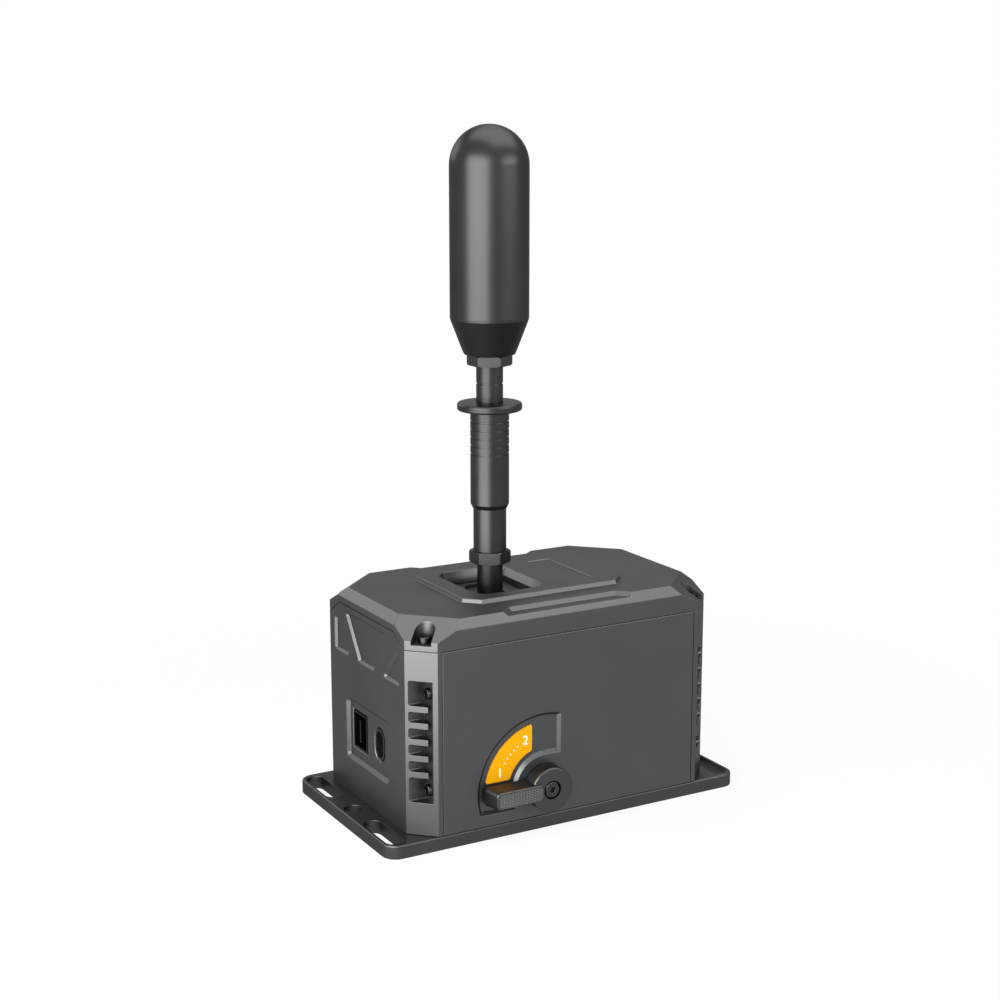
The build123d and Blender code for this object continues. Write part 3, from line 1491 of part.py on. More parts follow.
with BuildPart() as dust_guide:
    with BuildSketch(Plane.XY.offset(guide_low)):
        with Locations((lever_x, 0)):
            Rectangle(guide_half_x * 2, guide_half_y * 2)
            Rectangle(guide_window_x * 2, guide_window_y * 2, mode=Mode.SUBTRACT)
    extrude(amount=guide_floor)
    with BuildSketch(Plane.XY.offset(guide_top)):
        for sx in (-1, 1):
            with Locations((lever_x + sx * (dust_select_half_x + loose + guide_rail / 2), 0)):
                Rectangle(guide_rail, guide_half_y * 2)
    extrude(amount=select_rail_top - guide_top)
    with BuildSketch(Plane.XY.offset(guide_top)):
        for sx, sy in corner_signs:
            with Locations(
                (
                    lever_x + sx * (dust_select_half_x + loose + guide_half_x) / 2,
                    sy * (dust_shift_half_y + loose + guide_rail / 2),
                )
            ):
                Rectangle(guide_half_x - dust_select_half_x - loose, guide_rail)
        with Locations(*guide_screw_spots):
            Circle(guide_post_radius)
    extrude(amount=ceiling_height - guide_top)
    with Locations(*[(x, y, ceiling_height) for x, y in guide_screw_spots]):
        Hole(guide_screw_shank + slip, ceiling_height - guide_low)
save(dust_guide.part, "dust_guide")

guide_screw = screw(
    guide_screw_head,
    guide_screw_head_height,
    guide_screw_shank,
    ceiling_height - guide_low + guide_screw_bite - loose,
    guide_screw_key,
    guide_screw_head_height / 2,
)
with BuildPart() as dust_guide_screws:
    with Locations(*[facing(x, y, guide_low, (0, 0, -1)) for x, y in guide_screw_spots]):
        add(guide_screw)
save(dust_guide_screws.part, "dust_guide_screws")

print("slide travel", round(slide_travel, 2), "gate column", round(gate_column, 2))
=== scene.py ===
# %% [markdown]
# # A desktop gear shifter, dressed around its CAD frame
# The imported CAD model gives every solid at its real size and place. This file keeps that frame
# and adds what the solids lack: eased edges that catch light, a smooth grip, a squared knob arm,
# printed marks and the finishes of each metal and plastic. Everything is in metres.

# %% Load the frame
import json
import math

import bmesh
import bpy
from mathutils import Matrix, Vector


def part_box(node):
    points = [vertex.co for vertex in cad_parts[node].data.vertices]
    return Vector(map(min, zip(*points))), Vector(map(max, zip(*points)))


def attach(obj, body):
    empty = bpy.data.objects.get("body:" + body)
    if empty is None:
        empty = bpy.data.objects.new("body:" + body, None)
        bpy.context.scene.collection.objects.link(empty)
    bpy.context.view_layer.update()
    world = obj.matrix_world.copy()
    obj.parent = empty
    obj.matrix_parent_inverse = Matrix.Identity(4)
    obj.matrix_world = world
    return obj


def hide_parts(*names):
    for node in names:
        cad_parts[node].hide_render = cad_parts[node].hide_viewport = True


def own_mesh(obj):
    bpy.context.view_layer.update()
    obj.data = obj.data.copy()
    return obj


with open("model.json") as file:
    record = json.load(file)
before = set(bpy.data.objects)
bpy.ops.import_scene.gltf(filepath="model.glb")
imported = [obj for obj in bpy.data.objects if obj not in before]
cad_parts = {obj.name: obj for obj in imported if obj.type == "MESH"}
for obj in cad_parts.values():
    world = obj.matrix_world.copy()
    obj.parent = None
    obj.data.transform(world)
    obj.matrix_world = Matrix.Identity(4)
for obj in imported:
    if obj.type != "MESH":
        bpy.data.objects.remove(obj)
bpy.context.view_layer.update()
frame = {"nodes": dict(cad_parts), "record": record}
nodes = frame["nodes"]
owner = {node: body for body, names in frame["record"]["behaviour"]["bodies"].items() for node in names}
MM = 0.001

# %% [markdown]
# ## The camera
# The photograph was taken with a long lens from the corner between the sockets and the knob.
# The numbers were solved from the corners of the housing and the holes of the plate, so a pixel
# of the render falls where the same pixel of the photograph does.

# %% Set the camera at the photograph's angle
camera_place = (-0.41652, -0.71705, 0.32317)
camera_pitch, camera_roll, camera_heading = 12.278, 0.023, -29.571
camera_data = bpy.data.cameras.new("camera")
camera_data.sensor_width = 36.0
camera_data.lens = 65.09
camera_data.clip_start = 0.01
camera = bpy.data.objects.new("camera", camera_data)
camera.location = camera_place
camera.rotation_euler = [math.radians(turn) for turn in (90 - camera_pitch, camera_roll, camera_heading)]
bpy.context.collection.objects.link(camera)
bpy.context.scene.camera = camera
bpy.context.scene.view_settings.view_transform = "Standard"
print("lens", camera_data.lens)

# %% [markdown]
# ## Writing finishes as small node graphs
# A finish is a Principled shader fed by a few textures. One short helper adds a node and sets its
# sockets by name, so each finish below reads as a list of what it is made of. Another starts a
# material. Textures read Object coordinates, which are metres here, so a scale of 2000 means a
# grain about half a millimetre wide.

# %% Helpers that add a node and start a finish
def add_node(tree, kind, links=None, **values):
    made = tree.nodes.new(kind)
    for key, value in values.items():
        if hasattr(made, key):
            setattr(made, key, value)
        else:
            made.inputs[key.replace("_", " ")].default_value = value
    for key, source in (links or {}).items():
        tree.links.new(source, made.inputs[key])
    return made


def start_finish(name, **values):
    finish = bpy.data.materials.new(name)
    finish.use_nodes = True
    tree = finish.node_tree
    shader = tree.nodes["Principled BSDF"]
    for key, value in values.items():
        shader.inputs[key.replace("_", " ")].default_value = value
    place = add_node(tree, "ShaderNodeTexCoord").outputs["Object"]
    return finish, tree, shader, place


# %% [markdown]
# ## Metal with a fine blasted skin
# Blasted and anodised aluminium has a grain too fine to see one by one, which only widens the
# highlight, and a slow drift of shade where the bath took a little more or less. A fine noise drives
# a bump, and a wide one moves the roughness and the colour by a few percent. The dyed skin also
# mirrors less at a glancing angle than bare metal does, which the tint halves.

# %% Blasted metal
def blasted(name, colour, roughness, grain=2600, depth=0.012 * MM, drift=0.08):
    cloud_scale, cloud_low, cloud_high = 28.0, 0.3, 0.7
    grain_strength, roughness_swing = 0.35, 0.03
    half_mirror = (0.5, 0.5, 0.5, 1)
    finish, tree, shader, place = start_finish(name, Metallic=1.0, Specular_Tint=half_mirror)
    fine = add_node(tree, "ShaderNodeTexNoise", {"Vector": place}, Scale=grain, Detail=2.0)
    wide = add_node(tree, "ShaderNodeTexNoise", {"Vector": place}, Scale=cloud_scale, Detail=3.0)
    skin = add_node(tree, "ShaderNodeBump", {"Height": fine.outputs["Fac"]},
                    Strength=grain_strength, Distance=depth)
    shade = add_node(tree, "ShaderNodeValToRGB", {"Fac": wide.outputs["Fac"]})
    shade.color_ramp.elements[0].position = cloud_low
    shade.color_ramp.elements[1].position = cloud_high
    shade.color_ramp.elements[0].color = [c * (1 - drift) for c in colour] + [1]
    shade.color_ramp.elements[1].color = [c * (1 + drift) for c in colour] + [1]
    polish = add_node(tree, "ShaderNodeMapRange", {"Value": wide.outputs["Fac"]},
                      To_Min=roughness - roughness_swing, To_Max=roughness + roughness_swing)
    tree.links.new(shade.outputs["Color"], shader.inputs["Base Color"])
    tree.links.new(polish.outputs["Result"], shader.inputs["Roughness"])
    tree.links.new(skin.outputs["Normal"], shader.inputs["Normal"])
    print("finish", name)
    return finish


housing_finish = blasted("housing_anodised", (0.106, 0.108, 0.111), 0.42, drift=0.04)
plate_finish = blasted("plate_anodised", (0.080, 0.080, 0.082), 0.40)
knob_finish = blasted("knob_anodised", (0.086, 0.086, 0.087), 0.38, depth=0.008 * MM)
grip_finish = blasted("grip_satin", (0.058, 0.058, 0.059), 0.34, grain=3000, depth=0.004 * MM, drift=0.04)
# The knurl's lighter tone is a painted highlight on its ridges and pit walls.
knurl_painted_highlight_finish = blasted("knurl_painted_highlight", (0.30, 0.30, 0.30), 0.32, depth=0.006 * MM)
yoke_finish = blasted("yoke_alloy", (0.50, 0.51, 0.53), 0.34, grain=1800)
screw_finish = blasted("screw_black_oxide", (0.045, 0.045, 0.048), 0.30, depth=0.006 * MM)

# %% [markdown]
# ## Turned and ground metal
# A lathe leaves fine rings around the axis, a quarter to half a millimetre apart. A Wave texture in
# bands along Z draws them on every upright rod, with a little distortion so that they don't look
# printed. The texture repeats its bands at a fixed length, which the scale divides.

# %% Turned metal
def turned_metal(name, colour, roughness, pitch, depth, axis="Z"):
    band_length, band_bend, cut_strength = 0.314, 0.6, 0.4
    blotch_scale, darker, lighter, roughness_swing = 90.0, 0.9, 1.1, 0.04
    dull_mirror = (0.6, 0.6, 0.6, 1)
    finish, tree, shader, place = start_finish(name, Metallic=1.0, Specular_Tint=dull_mirror)
    rings = add_node(tree, "ShaderNodeTexWave", {"Vector": place}, bands_direction=axis,
                     Scale=band_length / pitch, Distortion=band_bend, Detail=1.0)
    blotch = add_node(tree, "ShaderNodeTexNoise", {"Vector": place}, Scale=blotch_scale, Detail=4.0)
    cut = add_node(tree, "ShaderNodeBump", {"Height": rings.outputs["Fac"]},
                   Strength=cut_strength, Distance=depth)
    tone = add_node(tree, "ShaderNodeMix", {"Factor": blotch.outputs["Fac"]}, data_type="RGBA")
    tone.inputs["A"].default_value = [c * darker for c in colour] + [1]
    tone.inputs["B"].default_value = [c * lighter for c in colour] + [1]
    polish = add_node(tree, "ShaderNodeMapRange", {"Value": blotch.outputs["Fac"]},
                      To_Min=roughness - roughness_swing, To_Max=roughness + roughness_swing)
    tree.links.new(tone.outputs["Result"], shader.inputs["Base Color"])
    tree.links.new(polish.outputs["Result"], shader.inputs["Roughness"])
    tree.links.new(cut.outputs["Normal"], shader.inputs["Normal"])
    print("finish", name)
    return finish


lever_finish = turned_metal("lever_black_oxide", (0.056, 0.056, 0.057), 0.34, 0.25 * MM, 0.004 * MM)
nut_finish = turned_metal("nut_black_oxide", (0.070, 0.070, 0.071), 0.32, 0.55 * MM, 0.02 * MM)
steel_finish = turned_metal("bright_steel", (0.46, 0.47, 0.48), 0.30, 0.4 * MM, 0.004 * MM)
brass_finish = turned_metal("turned_brass", (0.70, 0.47, 0.18), 0.28, 0.3 * MM, 0.004 * MM)
magnet_finish = turned_metal("plated_magnet", (0.66, 0.66, 0.68), 0.16, 0.5 * MM, 0.002 * MM)
shell_finish = turned_metal("socket_shell", (0.030, 0.030, 0.031), 0.34, 0.6 * MM, 0.003 * MM, axis="Y")

# %% [markdown]
# ## Plastics
# The sliding plates, the cups and the sockets are plastic, and the grip's taper takes a nearly black
# plastic finish, a painted shade for the dark that its downward faces mirror. All are dielectrics: dark
# underneath, with a highlight whose width comes from a very fine grain.

# %% Moulded plastic
def moulded(name, colour, roughness, grain, depth, shine=0.5):
    cloud_scale, darker, lighter = 45.0, 0.88, 1.12
    grain_strength, roughness_swing = 0.3, 0.04
    finish, tree, shader, place = start_finish(name, Specular_IOR_Level=shine)
    fine = add_node(tree, "ShaderNodeTexNoise", {"Vector": place}, Scale=grain, Detail=3.0)
    wide = add_node(tree, "ShaderNodeTexNoise", {"Vector": place}, Scale=cloud_scale, Detail=2.0)
    skin = add_node(tree, "ShaderNodeBump", {"Height": fine.outputs["Fac"]},
                    Strength=grain_strength, Distance=depth)
    tone = add_node(tree, "ShaderNodeMix", {"Factor": wide.outputs["Fac"]}, data_type="RGBA")
    tone.inputs["A"].default_value = [c * darker for c in colour] + [1]
    tone.inputs["B"].default_value = [c * lighter for c in colour] + [1]
    polish = add_node(tree, "ShaderNodeMapRange", {"Value": wide.outputs["Fac"]},
                      To_Min=roughness - roughness_swing, To_Max=roughness + roughness_swing)
    tree.links.new(tone.outputs["Result"], shader.inputs["Base Color"])
    tree.links.new(polish.outputs["Result"], shader.inputs["Roughness"])
    tree.links.new(skin.outputs["Normal"], shader.inputs["Normal"])
    print("finish", name)
    return finish


# The taper's nearly black finish is a painted shade for the dark that its downward faces mirror.
grip_taper_painted_shade_finish = moulded("grip_taper_painted_shade", (0.005, 0.005, 0.005), 0.55, 2400, 0.012 * MM, shine=0.12)
acetal_finish = moulded("sliding_plastic", (0.012, 0.012, 0.012), 0.42, 1500, 0.02 * MM, shine=0.3)
socket_finish = moulded("socket_plastic", (0.006, 0.006, 0.007), 0.40, 1200, 0.006 * MM, shine=0.15)

# %% [markdown]
# ## The circuit boards
# A lacquered board shows its copper as slightly lighter lanes under green. A Brick texture with wide
# rows is enough to suggest them on a piece that sits inside the housing.

# %% Lacquered board
board_finish, tree, shader, place = start_finish("lacquered_board", Roughness=0.22, Coat_Weight=0.4)
lanes = add_node(tree, "ShaderNodeTexBrick", {"Vector": place}, Scale=160.0, Mortar_Size=0.03)
lanes.inputs["Color1"].default_value = (0.012, 0.085, 0.035, 1)
lanes.inputs["Color2"].default_value = (0.010, 0.070, 0.030, 1)
lanes.inputs["Mortar"].default_value = (0.030, 0.160, 0.065, 1)
tree.links.new(lanes.outputs["Color"], shader.inputs["Base Color"])
print("finish", board_finish.name)

# %% [markdown]
# ## Easing edges
# No real edge is perfectly sharp: a narrow round catches a line of light, and that line is most of
# what makes a part look made. A copy of the CAD mesh is merged, its flat triangles are dissolved into
# whole faces, and every edge that turns by more than a set angle gets a small bevel, unless its width
# is left at none. The Weighted Normal modifier then keeps the wide faces flat and lets only the
# bevels shade round.

# %% Helpers for finished pieces
SHARP_SHADING = math.radians(40)
FLAT_ENOUGH = math.radians(0.6)
MERGE_GAP = 0.002 * MM
FACE_WEIGHT = 80


def ease_edges(shape, width, segments=2, sharp=24):
    turned_edges = [e for e in shape.edges if e.is_manifold and e.calc_face_angle() > math.radians(sharp)]
    bmesh.ops.bevel(shape, geom=turned_edges, offset=width, offset_type="OFFSET", affect="EDGES",
                    segments=segments, profile=0.5, clamp_overlap=False, material=-1)


def finish_piece(shape, name, body, finish):
    mesh = bpy.data.meshes.new(name)
    for face in shape.faces:
        face.smooth = True
    for edge in shape.edges:
        edge.smooth = not (edge.is_manifold and edge.calc_face_angle() > SHARP_SHADING)
    shape.to_mesh(mesh)
    shape.free()
    piece = bpy.data.objects.new(name, mesh)
    bpy.context.collection.objects.link(piece)
    mesh.materials.append(finish)
    flat = piece.modifiers.new("flat_faces", "WEIGHTED_NORMAL")
    flat.keep_sharp = True
    flat.weight = FACE_WEIGHT
    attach(piece, body)
    print("piece", name, "faces", len(mesh.polygons))
    return piece


def eased(node, finish, width=0):
    shape = bmesh.new()
    shape.from_mesh(nodes[node].data)
    bmesh.ops.remove_doubles(shape, verts=shape.verts, dist=MERGE_GAP)
    bmesh.ops.dissolve_limit(shape, angle_limit=FLAT_ENOUGH, verts=shape.verts, edges=shape.edges)
    if width:
        ease_edges(shape, width)
    piece = finish_piece(shape, node + "_eased", owner[node], finish)
    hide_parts(node)
    return piece


# %% [markdown]
# ## The housing
# Two castings, two panels and the cover are milled and blasted, and their edges are eased by up to
# a third of a millimetre. The castings get less, because the bevels of their reliefs would meet.

# %% Ease the housing's pieces
cover_ease, panel_ease, casting_ease, plate_ease = 0.28 * MM, 0.20 * MM, 0.14 * MM, 0.30 * MM
eased("top_cover", housing_finish, cover_ease)
for name in ("front_panel", "back_panel"):
    eased(name, housing_finish, panel_ease)
for name in ("port_end_casting", "plain_end_casting"):
    eased(name, housing_finish, casting_ease)
eased("base_plate", plate_finish, plate_ease)

# %% [markdown]
# ## The lever
# The rod, the tube, the sleeve with its ring grooves, the flange and the two nuts are black oxide
# steel off a lathe. Their solids are right, so they only need merged meshes and eased edges.

# %% Ease the lever's metal
small_ease = 0.10 * MM
for name in ("lever_shaft", "extension_tube", "lift_sleeve", "lift_flange"):
    eased(name, lever_finish, small_ease)
eased("jam_nut", nut_finish, small_ease)
eased("collar_nut", nut_finish, small_ease)

# %% [markdown]
# ## The lift spring
# A coil inside the sleeve pushes the collar down again after it has been pulled up. Its upper end
# stays on the lever's ring, so in the shifter the coil shortens towards that end by the collar's travel.
# Here it only gets a merged copy in steel, with a mesh of its own.

# %% Give the spring a merged copy with its own mesh
coil = eased("lift_spring", steel_finish)
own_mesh(coil)

# %% [markdown]
# ## The grip
# The grip is one turned form: a half-round top, a long straight body and a taper that ends in a
# rounded lip. Spinning one outline gives a truer curve than the CAD mesh's facets. The outline is
# closed through the bore that takes the core, and its top is a quarter circle in short steps.

# %% Draw the grip's outline
axis_x = sum(corner.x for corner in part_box("shift_grip")) / 2
grip_low, grip_high = (corner.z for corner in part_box("shift_grip"))
grip_radius = (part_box("shift_grip")[1].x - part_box("shift_grip")[0].x) / 2
core_gap = 0.05 * MM
core_radius = (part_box("grip_core")[1].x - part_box("grip_core")[0].x) / 2 + core_gap
core_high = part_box("grip_core")[1].z
lip_radius, taper_low_radius = 11.6 * MM, 12.55 * MM
taper_low = grip_low + 2.1 * MM
taper_high = grip_low + 16.7 * MM
dome_steps = 14
dome_base = grip_high - grip_radius
outline = [(0, core_high), (core_radius, core_high), (core_radius, grip_low), (lip_radius, grip_low),
           (taper_low_radius, taper_low), (grip_radius, taper_high)]
for step in range(dome_steps + 1):
    turn = math.pi / 2 * step / dome_steps
    outline.append((grip_radius * math.cos(turn), dome_base + grip_radius * math.sin(turn)))
print("outline points", len(outline))

# %% [markdown]
# A full turn of the outline leaves many points in one place on the axis, and they are merged. Then
# the corners are eased. The body and the top have a satin skin. The taper takes a matt, nearly black
# finish, a painted shade for the dark that it mirrors, so the faces below the taper's upper edge take
# the second finish.

# %% Spin the grip
def spun(outline, steps):
    shape = bmesh.new()
    points = [shape.verts.new((axis_x + radius, 0, height)) for radius, height in outline]
    lines = [shape.edges.new(pair) for pair in zip(points, points[1:])]
    bmesh.ops.spin(shape, geom=points + lines, cent=(axis_x, 0, 0), axis=(0, 0, 1), dvec=(0, 0, 0),
                   angle=2 * math.pi, steps=steps, use_merge=True)
    bmesh.ops.remove_doubles(shape, verts=shape.verts, dist=MERGE_GAP)
    bmesh.ops.recalc_face_normals(shape, faces=shape.faces)
    return shape


spin_steps = 96
grip_ease, grip_ease_steps, grip_sharp = 0.9 * MM, 4, 18
painted_shade_top = taper_high - 0.3 * MM
grip = spun(outline, spin_steps)
ease_edges(grip, grip_ease, segments=grip_ease_steps, sharp=grip_sharp)
# Faces below the taper's upper edge take the dark taper finish, a painted shade.
for face in grip.faces:
    face.material_index = 1 if face.calc_center_median().z < painted_shade_top else 0
grip_piece = finish_piece(grip, "grip_turned", owner["shift_grip"], grip_finish)
grip_piece.data.materials.append(grip_taper_painted_shade_finish)
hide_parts("shift_grip")

# %% [markdown]
# ## The mode knob
# The knob is a round hub with a flat arm, held by a screw in the hub. Both solids are right and get
# eased edges. The screw also gives the height of the axis that the knob turns on.

# %% Ease the knob and its screw
knob_ease, mode_screw_ease = 0.25 * MM, 0.12 * MM
eased("mode_knob", knob_finish, knob_ease)
eased("mode_screw", nut_finish, mode_screw_ease)
knob_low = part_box("mode_knob")[0]
screw_low, screw_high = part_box("mode_screw")
knob_z = (screw_low.z + screw_high.z) / 2
print("knob axis height", round(knob_z / MM, 2))

# %% [markdown]
# The arm has a face of fine squares, cut so that a finger doesn't slip. A grid laid over the arm is
# inset square by square twice, the second time inwards, which leaves pits with sloped walls between
# thin ridges. The ridges and the pit walls take a lighter finish, a painted highlight for the lines of
# light that the squares catch. The corner squares are left out, because the arm's corners are round,
# and a skirt joins the rim to the arm.

# %% Cut the arm's squares
square = 0.8 * MM
squares_long, squares_high = 28, 8
ridge_half, wall_run, pit_depth = 0.14 * MM, 0.09 * MM, 0.20 * MM
squares_proud, arm_margin = 0.24 * MM, 2.5 * MM
last_column, last_row = (squares_long / 2 - 1) * square, (squares_high / 2 - 1) * square
squares = bmesh.new()
bmesh.ops.create_grid(squares, x_segments=squares_long, y_segments=squares_high, size=0.5)
bmesh.ops.scale(squares, vec=(squares_long * square, squares_high * square, 1), verts=squares.verts)
corners = [face for face in squares.faces if abs(face.calc_center_median().x) > last_column
           and abs(face.calc_center_median().y) > last_row]
bmesh.ops.delete(squares, geom=corners, context="FACES")
cells = squares.faces[:]
bmesh.ops.inset_individual(squares, faces=cells, thickness=ridge_half, depth=0.0)
bmesh.ops.inset_individual(squares, faces=cells, thickness=wall_run, depth=-pit_depth)
# Ridges and pit walls take the lighter finish, a painted highlight; the pit floors keep the knob's finish.
for face in squares.faces:
    face.material_index = 1
for cell in cells:
    cell.material_index = 0
rim = [edge for edge in squares.edges if edge.is_boundary]
skirt = bmesh.ops.extrude_edge_only(squares, edges=rim)
skirt_points = [point for point in skirt["geom"] if isinstance(point, bmesh.types.BMVert)]
bmesh.ops.translate(squares, vec=(0, 0, -squares_proud), verts=skirt_points)
bmesh.ops.recalc_face_normals(squares, faces=squares.faces)
arm_left = knob_low.x + arm_margin
place = Matrix.Translation((arm_left + squares_long * square / 2, knob_low.y - squares_proud, knob_z))
squares.transform(place @ Matrix.Rotation(math.radians(90), 4, "X"))
print("squares", len(cells))
knurl = finish_piece(squares, "knob_squares", owner["mode_knob"], knob_finish)
knurl.data.materials.append(knurl_painted_highlight_finish)

# %% [markdown]
# ## The dial's label
# The label is a printed film with a yellow field. Its curved edges get a darker rim, a painted shadow
# along the film's edge. The rim follows the film's own outline, a ring sector, so its shade comes from
# each point's distance to the dial's centre.

# %% Print the field and paint the rim's shadow
label_finish, tree, shader, place = start_finish("printed_label_rim_shadow", Roughness=0.6, Specular_IOR_Level=0.08)
label_low, label_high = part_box("dial_label")
inner_edge, outer_edge = 17.8 * MM, 30.3 * MM
field_colour, rim_shadow_colour, rim_shadow_share = (0.65, 0.30, 0.001, 1), (0.42, 0.18, 0.01, 1), 0.03
flat = add_node(tree, "ShaderNodeVectorMath", operation="MULTIPLY")
flat.inputs[1].default_value = (1, 0, 1)
centred = add_node(tree, "ShaderNodeVectorMath", operation="SUBTRACT")
centred.inputs[1].default_value = (axis_x, 0, knob_z)
distance = add_node(tree, "ShaderNodeVectorMath", operation="LENGTH")
tree.links.new(place, centred.inputs[0])
tree.links.new(centred.outputs[0], flat.inputs[0])
tree.links.new(flat.outputs[0], distance.inputs[0])
rim = add_node(tree, "ShaderNodeMapRange", {"Value": distance.outputs["Value"]},
               From_Min=inner_edge, From_Max=outer_edge)
# The darker rim at both curved edges is a painted shadow; the field between them is the print.
field_and_rim_shadow = add_node(tree, "ShaderNodeValToRGB", {"Fac": rim.outputs["Result"]})
ramp = field_and_rim_shadow.color_ramp
ramp.interpolation = "CONSTANT"
ramp.elements[0].color = rim_shadow_colour
ramp.elements[1].position = rim_shadow_share
ramp.elements[1].color = field_colour
outer_rim_shadow = ramp.elements.new(1 - rim_shadow_share)
outer_rim_shadow.color = rim_shadow_colour
tree.links.new(field_and_rim_shadow.outputs["Color"], shader.inputs["Base Color"])
nodes["dial_label"].material_slots[0].material = label_finish
print("label", label_low, label_high)

# %% [markdown]
# The marks are plain numbers for the two modes, with a dotted arc between them. A number starts as a
# text curve, is made a mesh, and only then is placed, because a finished piece has its place in its
# mesh. The marks lie just in front of the film.

# %% Add the numbers and dots
ink_finish = moulded("label_ink", (0.86, 0.84, 0.80), 0.5, 900, 0.002 * MM)
mark_radius = 24.0 * MM
label_face = label_low.y - 0.03 * MM
digit_size, digit_depth, digit_angles = 6.2 * MM, 0.02 * MM, (("1", 158), ("2", 112))
dot_count, dot_start, dot_turn, dot_radius, dot_sides = 5, 123, 5.7, 0.35 * MM, 12
upright = Matrix.Rotation(math.radians(90), 4, "X")


def on_dial(angle, radius):
    return Vector((axis_x + radius * math.cos(math.radians(angle)), label_face,
                   knob_z + radius * math.sin(math.radians(angle))))


for text, angle in digit_angles:
    words = bpy.data.curves.new("mark_" + text, "FONT")
    words.body = text
    words.size = digit_size
    words.align_x, words.align_y = "CENTER", "CENTER"
    words.extrude = digit_depth
    drawn = bpy.data.objects.new("mark_draft", words)
    bpy.context.collection.objects.link(drawn)
    mesh = bpy.data.meshes.new_from_object(drawn)
    bpy.data.objects.remove(drawn)
    mesh.transform(Matrix.Translation(on_dial(angle, mark_radius)) @ upright)
    mesh.materials.clear()
    mesh.materials.append(ink_finish)
    mark = bpy.data.objects.new("mark_" + text, mesh)
    bpy.context.collection.objects.link(mark)
    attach(mark, "housing")

dots = bmesh.new()
for step in range(dot_count):
    spot = on_dial(dot_start + dot_turn * step, mark_radius)
    bmesh.ops.create_circle(dots, cap_ends=True, segments=dot_sides, radius=dot_radius,
                            matrix=Matrix.Translation(spot) @ upright)
finish_piece(dots, "mark_dots", "housing", ink_finish)

# %% [markdown]
# ## Screws, sockets and what works inside
# The screw heads are seen in their pockets and counterbores, so they get eased edges too. Pieces
# inside keep their solids and take the finish of what they are made of.

# %% Finish the small parts
plastic_ease = 0.12 * MM
for name in ("cover_screws", "panel_screws"):
    eased(name, screw_finish, small_ease)
eased("data_socket", shell_finish, small_ease)
eased("aux_socket", socket_finish, plastic_ease)
eased("dust_plate_shift", acetal_finish, plastic_ease)

inside = {
    screw_finish: ("base_screws", "frame_screws", "gate_screws", "detent_screws", "rail_screws",
                   "dust_guide_screws"),
    steel_finish: ("mechanism_frame", "gate_plate", "detent_plate", "mode_cam", "mode_shaft",
                   "select_pins", "shift_pins", "lockout_rod", "lockout_pin", "board_screws",
                   "select_sensor_screws", "shift_sensor_screws", "spring_stop_ring", "slide_rails"),
    yoke_finish: ("select_yoke",),
    brass_finish: ("select_bushes", "shift_bushes", "mode_bush", "gate_posts", "board_posts", "grip_core"),
    acetal_finish: ("lock_slide", "dust_plate_select", "dust_guide", "select_sensor_cup", "shift_sensor_cup"),
    board_finish: ("circuit_board", "select_sensor", "shift_sensor"),
    magnet_finish: ("select_magnet", "shift_magnet"),
}
for finish, names in inside.items():
    for name in names:
        nodes[name].material_slots[0].material = finish
print("inside", sum(len(names) for names in inside.values()))

# %% [markdown]
# ## The studio
# The object stands on a pale floor in a white room. Camera rays see the room as pure white, glossy
# rays see it a little dimmer, and the light that it sheds on everything is weaker still, so the
# metal shows a bright room and its own colour stays near what is written. Close to the object the
# floor keeps a share of its real shading, which shows the soft shadow.
#
# A low card at the left lights the cut corner, and a tall card behind it draws the long highlight
# on the grip and the lever. Soft boxes above, at the front right and behind fill the other sides.

# %% The floor
floor_half = 6.0
floor_tone = (0.74, 0.74, 0.74, 1)
camera_level, mirror_level, room_level = 1.0, 0.70, 0.20
shadow_near, shadow_far, glow_near = 0.12, 0.40, 0.89
floor_shape = bmesh.new()
bmesh.ops.create_grid(floor_shape, x_segments=1, y_segments=1, size=floor_half)
floor_mesh = bpy.data.meshes.new("floor")
floor_shape.to_mesh(floor_mesh)
floor_shape.free()
floor = bpy.data.objects.new("floor", floor_mesh)
bpy.context.collection.objects.link(floor)
floor_finish, tree, shader, place = start_finish("pale_floor", Base_Color=floor_tone, Roughness=0.9,
                                                 Specular_IOR_Level=0.1)
rays = add_node(tree, "ShaderNodeLightPath")
seen = add_node(tree, "ShaderNodeMath", {0: rays.outputs["Is Camera Ray"], 1: rays.outputs["Is Glossy Ray"]},
                operation="ADD", use_clamp=True)
shine = add_node(tree, "ShaderNodeMapRange", {"Value": rays.outputs["Is Camera Ray"]},
                 To_Min=mirror_level, To_Max=camera_level)
glow = add_node(tree, "ShaderNodeEmission", {"Strength": shine.outputs["Result"]})
away = add_node(tree, "ShaderNodeVectorMath", {0: place}, operation="LENGTH")
fade = add_node(tree, "ShaderNodeMapRange", {"Value": away.outputs["Value"]},
                interpolation_type="SMOOTHSTEP",
                From_Min=shadow_near, From_Max=shadow_far, To_Min=glow_near, To_Max=1.0)
share = add_node(tree, "ShaderNodeMath", {0: seen.outputs[0], 1: fade.outputs["Result"]},
                 operation="MULTIPLY")
both = add_node(tree, "ShaderNodeMixShader", {0: share.outputs[0], 1: shader.outputs[0], 2: glow.outputs[0]})
tree.links.new(both.outputs[0], tree.nodes["Material Output"].inputs["Surface"])
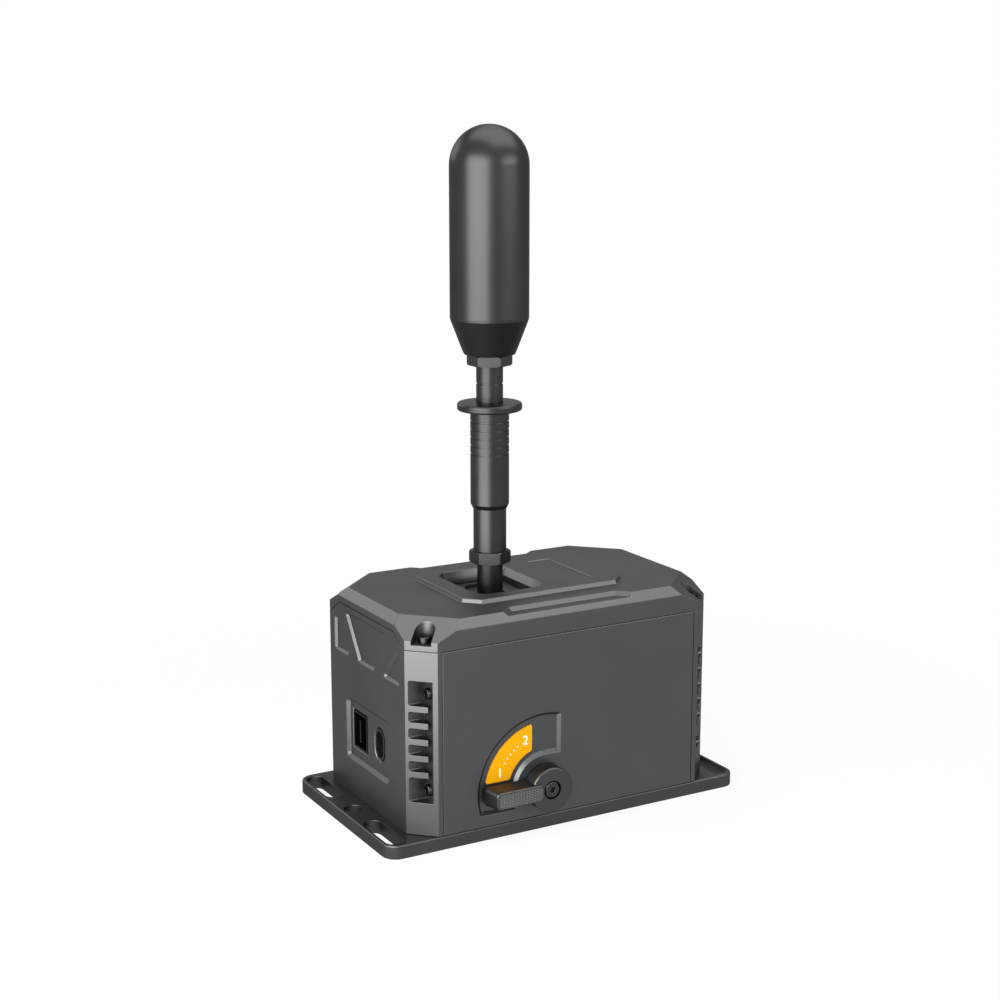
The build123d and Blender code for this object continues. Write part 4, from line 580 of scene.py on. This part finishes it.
floor_mesh.materials.append(floor_finish)
print("floor", floor_half)

# %% [markdown]
# The surround follows the same three levels, and it is clear to rays that pass through.

# %% The surround
world = bpy.data.worlds.new("surround")
bpy.context.scene.world = world
world.use_nodes = True
tree = world.node_tree
rays = add_node(tree, "ShaderNodeLightPath")
mirror = add_node(tree, "ShaderNodeMapRange", {"Value": rays.outputs["Is Glossy Ray"]},
                  To_Min=room_level, To_Max=mirror_level)
clear = add_node(tree, "ShaderNodeMath",
                 {0: rays.outputs["Is Camera Ray"], 1: rays.outputs["Is Transmission Ray"]},
                 operation="ADD", use_clamp=True)
level = add_node(tree, "ShaderNodeMath", {0: clear.outputs[0], 1: mirror.outputs["Result"]},
                 operation="MAXIMUM")
tree.nodes["Background"].inputs["Color"].default_value = (1, 1, 1, 1)
tree.links.new(level.outputs[0], tree.nodes["Background"].inputs["Strength"])
print("surround", world.name)

# %% [markdown]
# Each lamp has its place, the point that it faces, its width and height, and its radiance. A lamp's
# power follows from its radiance and its area.

# %% The lamps
for name, place, target, size, radiance in (
    ("low_card", (-0.212, -0.098, 0.070), (-0.07, -0.03, 0.05), (0.26, 0.14), 4.3),
    ("tall_card", (-0.398, -0.21, 0.30), (0, 0, 0.22), (0.52, 0.36), 5.0),
    ("top_softbox", (0.22, 0.08, 1.10), (0, 0, 0.1), (1.4, 1.2), 2.2),
    ("front_softbox", (0.55, -0.95, 0.50), (0, 0, 0.1), (0.9, 0.36), 3.8),
    ("back_softbox", (-0.36, 1.10, 0.64), (0, 0, 0.1), (0.7, 0.5), 3.0),
):
    lamp = bpy.data.lights.new(name, "AREA")
    lamp.shape = "RECTANGLE"
    lamp.size, lamp.size_y = size
    lamp.energy = radiance * math.pi * size[0] * size[1]
    stand = bpy.data.objects.new(name, lamp)
    stand.location = place
    aim = Vector(target) - Vector(place)
    stand.rotation_euler = aim.to_track_quat("-Z", "Y").to_euler()
    stand.visible_camera = False
    bpy.context.collection.objects.link(stand)
print("lamps placed")
